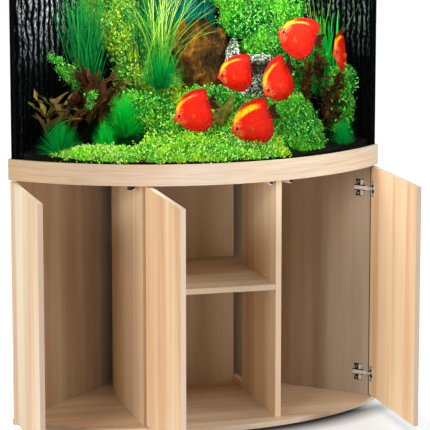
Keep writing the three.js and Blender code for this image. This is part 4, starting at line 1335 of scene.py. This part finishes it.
LOW_STONE_LUMPS = (
    ((0.325, 0.080, 0.945), (0.036, 0.028, 0.050), 0.0),
    ((0.350, 0.090, 0.965), (0.024, 0.024, 0.040), 0.4),
)


def limbs(rows):
    """All limbs of one piece of wood in one shape."""
    shape = bmesh.new()
    for row in rows:
        limb(shape, *zip(*row))
    return shape


def root_wood():
    def rough(point):
        broad = noise.fractal(point * 24, 1.0, 2.1, 4)
        ridges = noise.fractal(Vector((point.x * 90, point.y * 90, point.z * 22)), 1.0, 2.0, 3)
        return 0.010 * broad + 0.0035 * ridges

    piece = fused("orange_root", limbs(ROOT_LIMBS), 0.0055, root_finish(), rough)
    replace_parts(piece, "root_wood")


def stones():
    def lumps(rows):
        shape = bmesh.new()
        for centre, radii, turn in rows:
            made = bmesh.ops.create_icosphere(shape, subdivisions=3, radius=1)["verts"]
            matrix = Matrix.Translation(centre) @ Matrix.Rotation(turn, 4, "Z") @ block_of(*radii)
            bmesh.ops.transform(shape, matrix=matrix, verts=made)
        return shape

    def rough(point):
        ledges = noise.cell_vector(point * 26).x * 0.006
        return ledges + 0.007 * noise.fractal(point * 30, 1.0, 2.2, 4)

    finish = stone_finish()
    for name, rows, voxel, node in (
        ("speckled_stones", STONE_LUMPS, 0.0055, "stone_large"),
        ("speckled_stone_low", LOW_STONE_LUMPS, 0.005, "stone_small"),
    ):
        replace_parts(fused(name, lumps(rows), voxel, finish, rough), node)


def mossy_twig():
    def rough(point):
        return 0.004 * noise.fractal(point * 70, 1.0, 2.0, 3)

    piece = fused("mossy_twig", limbs(TWIG_LIMBS), 0.0035, twig_brown, rough)
    layer = piece.data.attributes.new("tint", "FLOAT", "POINT")
    tints = [0.5 + 0.6 * noise.noise(v.co * 60) for v in piece.data.vertices]
    layer.data.foreach_set("value", tints)


root_wood()
stones()
mossy_twig()

# ---- fish
OUTLINE = (  # angle from the mouth in degrees, and reach from the middle in body radii
    (0, 1.13), (8, 1.04), (20, 0.98), (40, 0.95), (59, 0.94), (80, 0.97), (97, 1.03), (112, 1.12),
    (126, 1.22), (137, 1.32), (144, 1.32), (153, 1.13), (168, 0.95), (182, 0.90), (198, 0.95),
    (215, 1.08), (235, 1.19), (252, 1.22), (268, 1.16), (287, 1.05), (312, 0.99), (335, 0.97),
    (350, 1.03), (360, 1.13),
)


def reach_at(angle):
    """The outline's reach at an angle, smoothly between its points."""
    for (a0, r0), (a1, r1) in zip(OUTLINE, OUTLINE[1:]):
        if a0 <= angle <= a1:
            t = (angle - a0) / (a1 - a0)
            return r0 + (r1 - r0) * t * t * (3 - 2 * t)
    return 1.0


def fish_finish():
    """Red-orange scales: yellow along the brow and back, mottled face, dusky fin edges."""
    material, tree, shader = new_material("red_fish_scales")

    def mask(name, *stops):
        return ramp(tree, attribute(tree, name), *stops)

    place = object_coordinates(tree)
    mottle = noise_pattern(tree, place, 130.0, 4.0, 0.65, 0.6)
    scales = cell_pattern(tree, 330.0)["Distance"]
    body = ramp(
        tree, mottle, (0.36, srgb(178, 8, 2)), (0.52, srgb(210, 18, 4)), (0.7, srgb(236, 46, 8))
    )
    fleck = ramp(tree, scales, (0.1, srgb(255, 214, 190)), (0.6, WHITE))
    heart = multiply(tree, 1.0, mask("rim", (0.25, WHITE), (0.85, BLACK)), (0.4, 0.4, 0.4))
    body = blend_colours(tree, heart, multiply(tree, 0.35, body, fleck), srgb(242, 44, 6))
    glow = ramp(tree, mottle, (0.36, srgb(255, 130, 0)), (0.56, srgb(255, 206, 10)))
    colour = blend_colours(tree, mask("back", (0.2, BLACK), (0.75, WHITE)), body, glow)
    veins = ramp(tree, noise_pattern(tree, place, 420.0, 2.0), (0.54, BLACK), (0.6, WHITE))
    face = multiply(tree, 1.0, mask("face", (0.3, BLACK), (0.9, WHITE)), veins)
    colour = blend_colours(tree, face, colour, srgb(255, 176, 96))
    rays = mask("ray", (0.1, WHITE), (0.9, srgb(176, 96, 74)))
    edge = mask("edge", (0.5, BLACK), (1.0, WHITE))
    colour = blend_colours(tree, edge, multiply(tree, 0.75, colour, rays), srgb(110, 12, 6))
    coat(tree, shader, colour, mirror=0.2)
    roughness_from(tree, shader, mottle, 0.32, 0.5)
    bump(tree, shader, scales, 0.0005, 0.35)
    return material


def fish_fin_finish(name, root, tip, cover):
    """Fins: rayed, drifting from the body's colour at the root to the tip's."""
    material, tree, shader = new_material(name)
    rays = noise_pattern(tree, object_coordinates(tree, (500, 500, 160)), 1.0, 2.0)
    drift = ramp(tree, attribute(tree, "tint"), (0.05, root), (0.5, tip))
    shade = ramp(tree, rays, (0.35, srgb(150, 130, 120)), (0.6, WHITE))
    coat(tree, shader, multiply(tree, 0.7, drift, shade), mirror=WET)
    roughness_from(tree, shader, rays, 0.4, 0.6)
    shader.inputs["Alpha"].default_value = cover
    return material


def fish_eye_finish():
    material, tree, shader = new_material("fish_eye")
    pupil = srgb(6, 4, 4)
    colour = ramp(
        tree, attribute(tree, "tint"),
        (0.0, pupil), (0.80, pupil), (0.88, srgb(176, 20, 8)), (1.0, srgb(120, 12, 6)),
    )
    coat(tree, shader, colour)
    haze = noise_pattern(tree, object_coordinates(tree), 200.0, 1.0)
    roughness_from(tree, shader, haze, 0.06, 0.12)
    return material


FISH_SKIN, FISH_EYE = fish_finish(), fish_eye_finish()
FISH_FIN = fish_fin_finish("dusky_tail_fin", srgb(214, 40, 12), srgb(58, 24, 16), 0.88)
FISH_CLEAR = fish_fin_finish("clear_orange_fin", srgb(232, 40, 6), srgb(255, 110, 40), 0.4)
FISH_THICK = 0.17  # half thickness in body radii
EYE_SIZE, EYE_BULGE = 0.088, 0.040


def bell(value, middle, width):
    return math.exp(-(((value - middle) / width) ** 2))


def fish_body(shape, arch):
    """A deep flat body with its back and belly fins drawn out to the outline."""
    names = ("back", "face", "edge", "rim", "ray")
    layers = {name: shape.verts.layers.float.new(name) for name in names}
    bmesh.ops.create_uvsphere(shape, u_segments=144, v_segments=28, radius=1)
    for vert in shape.verts:
        flat = math.hypot(vert.co.x, vert.co.y)
        angle = math.degrees(math.atan2(vert.co.y, vert.co.x)) % 360
        share = 1 - math.acos(min(1, flat)) / (math.pi / 2)  # 0 at the poles, 1 on the outline
        share = share**0.8
        ahead = bell(angle, 0, 48) + bell(angle, 360, 48)
        body = max(0.0, 1 - (share / (0.80 + 0.16 * ahead)) ** 2) ** 0.62
        swell = 1 + 0.25 * ahead * bell(share, 0.5, 0.3)
        thick = FISH_THICK * body * swell + 0.012 * (1 - share)
        turn = math.radians(angle)
        scallop = 0.012 * math.sin(turn * 34) * (share > 0.9 and 60 < angle < 300)
        reach = reach_at(angle) * share * (1 + scallop)
        side = math.copysign(1, vert.co.z) if abs(vert.co.z) > 1e-6 else 0
        arch_place = 0.74 - 0.08 * (arch - 1) - 0.0012 * (angle - 88)
        crescent = arch * bell(angle, 88, 40) * bell(share, arch_place, 0.075 * arch)
        brow = bell(angle, 44, 26) * bell(share, 0.90, 0.09)
        vert[layers["back"]] = crescent + brow
        vert[layers["face"]] = (bell(angle, 20, 34) + bell(angle, 345, 22)) * bell(share, 0.8, 0.25)
        rear = bell(angle, 148, 30) + bell(angle, 215, 30)
        vert[layers["edge"]] = bell(share, 1.0, 0.07) * rear + 0.3 * bell(share, 1.0, 0.03)
        vert[layers["rim"]] = share
        finned = max(0.0, min(1.0, (share - 0.72) * 8)) * (1 - ahead)
        vert[layers["ray"]] = finned * (0.5 + 0.5 * math.sin(turn * 40))
        vert.co = (reach * math.cos(turn), side * thick, reach * math.sin(turn))


def fish_tail(shape):
    """A ragged fan, spread and rippled towards its end."""
    tint = shape.verts.layers.float.new("tint")
    for vert in bmesh.ops.create_grid(shape, x_segments=8, y_segments=12, size=0.5)["verts"]:
        t, u = vert.co.x + 0.5, vert.co.y * 2
        rag = 1 + 0.08 * math.sin(u * 23) * t - 0.12 * math.cos(u * 3) * t
        vert[tint] = t
        x, ripple = -0.72 - 0.60 * t * rag, 0.03 * math.sin(u * 9) * t
        vert.co = (x, ripple, u * (0.13 + 0.30 * t**0.8))
    bmesh.ops.solidify(shape, geom=list(shape.faces), thickness=0.012)


def fish_side_fin(shape, tint, side):
    """The clear little fin behind the gill, held out from the side."""
    for vert in bmesh.ops.create_grid(shape, x_segments=4, y_segments=6, size=0.5)["verts"]:
        t, u = vert.co.x + 0.5, vert.co.y * 2
        spread = 0.05 + 0.10 * math.sin(math.pi * min(1, t + 0.15))
        vert[tint] = t
        vert.co = (0.30 - 0.26 * t, side * (0.15 + 0.20 * t), -0.16 + u * spread - 0.04 * t)


def fish_belly_fins(shape):
    """Two trailing feelers under the throat."""
    for side in (-1, 1):
        for vert in bmesh.ops.create_grid(shape, x_segments=1, y_segments=8, size=0.5)["verts"]:
            t = vert.co.y + 0.5
            half = 0.05 * (1 - t) + 0.006
            x = 0.42 - 0.16 * t - 0.14 * t * t + math.copysign(half, vert.co.x)
            vert.co = (x, side * (0.06 + 0.03 * t), -0.72 - 0.42 * t)


def fish_small_fins(shape):
    tint = shape.verts.layers.float.new("tint")
    for side in (1, -1):
        fish_side_fin(shape, tint, side)
    fish_belly_fins(shape)


def fish_eyes(shape):
    tint = shape.verts.layers.float.new("tint")
    for side in (-1, 1):
        ball = bmesh.ops.create_uvsphere(shape, u_segments=20, v_segments=14, radius=1)["verts"]
        for vert in ball:
            x, y, z = vert.co
            vert[tint] = math.hypot(x, z)
            vert.co = (0.80 + x * EYE_SIZE, side * 0.098 + y * EYE_BULGE, 0.07 + z * EYE_SIZE)


def fish(name, place, size, heading, nose_down, lean, arch):
    """One fish: size is its body radius, heading the way it swims, about the upright axis."""
    turn = (
        Matrix.Translation(place)
        @ turned(heading) @ turned(nose_down, "Y") @ turned(lean, "X")
        @ block_of(size, size, size)
    )
    parts = (
        ("body", lambda shape: fish_body(shape, arch), FISH_SKIN),
        ("tail", fish_tail, FISH_FIN),
        ("fins", fish_small_fins, FISH_CLEAR),
        ("eyes", fish_eyes, FISH_EYE),
    )
    for part, make, material in parts:
        shape = bmesh.new()
        make(shape)
        bmesh.ops.transform(shape, matrix=turn, verts=shape.verts)
        piece_of(f"fish_{name}_{part}", shape, material)


FISH = (  # name, place, body radius, heading, nose down, lean, strength of the yellow arch
    ("lower_left", (-0.037, -0.100, 1.009), 0.060, 178, 22, 4, 0.7),
    ("upper_middle", (0.129, 0.000, 1.114), 0.054, 172, 14, -4, 0.8),
    ("middle_right", (0.258, -0.030, 1.088), 0.064, 208, 36, 6, 0.8),
    ("lower_middle", (0.142, -0.150, 0.974), 0.066, 174, 24, -6, 1.5),
    ("upper_right", (0.334, -0.010, 1.226), 0.061, 168, -12, 0, 0.7),
    ("far_right", (0.480, 0.000, 1.172), 0.062, 234, 4, 8, 1.0),
)
for row in FISH:
    fish(*row)


# ---- stage and light
GLOW_CENTRE = (0.15, -0.25, 0.0)
GLOW_REACH = (0.42, 0.76)  # from the centre the floor's glow rises to white over this
FLOOR_GLOW = 0.34  # glow near the object
FLOOR_TONE = (0.76, 0.80, 0.86)
SHADE_REACH = (-0.01, 0.12)  # past the base's rim, where the contact shade ends
SHADE_START = (0.02, -0.10)  # y over which it sets in towards the front
FLOOR_SHADE = ((0.0, (0.06, 0.063, 0.068)), (0.35, (0.40, 0.42, 0.45)), (1.0, FLOOR_TONE))


def seen_directly(tree):
    """1 for the camera, and for what metal and glass show it, else 0."""
    ray = add_node(tree, "LightPath").outputs
    seen = calculate(tree, "MAXIMUM", ray["Is Camera Ray"], ray["Is Glossy Ray"])
    return calculate(tree, "MAXIMUM", seen, ray["Is Transmission Ray"])


def pick_shader(tree, share, first, second):
    inputs = {0: share, 1: first.outputs[0], 2: second.outputs[0]}
    return add_node(tree, "MixShader", inputs)


def contact_shade(tree, place, from_point):
    """1 on the open floor, and nearly 0 close under the base's bent front."""
    rim = ARC_CENTRE_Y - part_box("base_plate")[0].y
    ends = [rim + step for step in SHADE_REACH]
    away = from_point((0.0, ARC_CENTRE_Y, 0.0))
    bend = map_range(tree, away, *ends, 0.03, 1.0, "SMOOTHSTEP")
    depth = add_node(tree, "SeparateXYZ", {"Vector": place}).outputs["Y"]
    in_front = map_range(tree, depth, *SHADE_START, kind="SMOOTHSTEP")
    return add_node(tree, "Mix", {"Factor": in_front, "A": 1.0, "B": bend}).outputs["Result"]


def white_floor():
    """A pale floor that shows white to the camera and keeps the shadow."""
    shape = bmesh.new()
    bmesh.ops.create_grid(shape, x_segments=1, y_segments=1, size=12)
    floor = object_of("floor", mesh_of("floor", shape))
    material, tree, shader = new_material("white_floor")
    place = add_node(tree, "TexCoord").outputs["Object"]

    def from_point(point):
        inputs = {0: place, 1: point}
        return add_node(tree, "VectorMath", inputs, operation="DISTANCE").outputs["Value"]

    rise = map_range(
        tree, from_point(GLOW_CENTRE), *GLOW_REACH, FLOOR_GLOW, 1.0, "SMOOTHSTEP"
    )
    shade = contact_shade(tree, place, from_point)
    coat(tree, shader, ramp(tree, shade, *FLOOR_SHADE), 0.9, 0.0)
    strength = calculate(tree, "MULTIPLY", rise, shade)
    glow = add_node(tree, "Emission", {"Color": (0.91, 0.97, 1.0, 1), "Strength": strength})
    nothing = add_node(tree, "Emission", {"Strength": 0.0})
    pick = pick_shader(tree, seen_directly(tree), nothing, glow)
    both = add_node(tree, "AddShader", {0: shader.outputs["BSDF"], 1: pick.outputs[0]})
    set_inputs(tree, tree.nodes["Material Output"], {"Surface": both.outputs[0]})
    floor.data.materials.append(material)


def white_world():
    """Soft daylight all round; white where the camera looks past the object."""
    world = bpy.data.worlds.new("studio")
    world.use_nodes = True
    bpy.context.scene.world = world
    tree = world.node_tree
    daylight = tree.nodes["Background"]
    set_inputs(tree, daylight, {"Color": (0.85, 0.93, 1.0, 1), "Strength": 0.1})
    white = add_node(tree, "Background", {"Color": (1, 1, 1, 1), "Strength": 1.0})
    pick = pick_shader(tree, seen_directly(tree), daylight, white)
    set_inputs(tree, tree.nodes["World Output"], {"Surface": pick.outputs[0]})


def soft_lamp(name, place, target, size, power):
    data = bpy.data.lights.new(name, "AREA")
    data.shape = "RECTANGLE"
    data.size, data.size_y = size
    data.energy = power
    lamp = object_of(name, data)
    lamp.location = place
    aim = Vector(target) - Vector(place)
    lamp.rotation_euler = aim.to_track_quat("-Z", "Y").to_euler()
    lamp.visible_camera = False
    lamp.visible_glossy = False


white_floor()
white_world()
bpy.context.scene.view_settings.view_transform = "Standard"
middle = (CAD_BOX[0] + CAD_BOX[1]) / 2
soft_lamp("left_window", (-6.1, -5.9, 2.5), middle, (3.6, 3.2), 620)
soft_lamp("right_window", (8.4, -5.0, 2.5), middle, (4.0, 4.0), 560)
soft_lamp("high_front", (0.4, -4.6, 6.4), middle, (3.0, 2.0), 80)
soft_lamp("tank_light", (0.0, -0.04, 1.392), (0.0, 0.02, 0.9), (0.86, 0.22), 4.0)
soft_lamp("tank_front_light", (0.0, -0.205, 1.300), (0.0, 0.2, 1.0), (0.80, 0.30), 1.2)
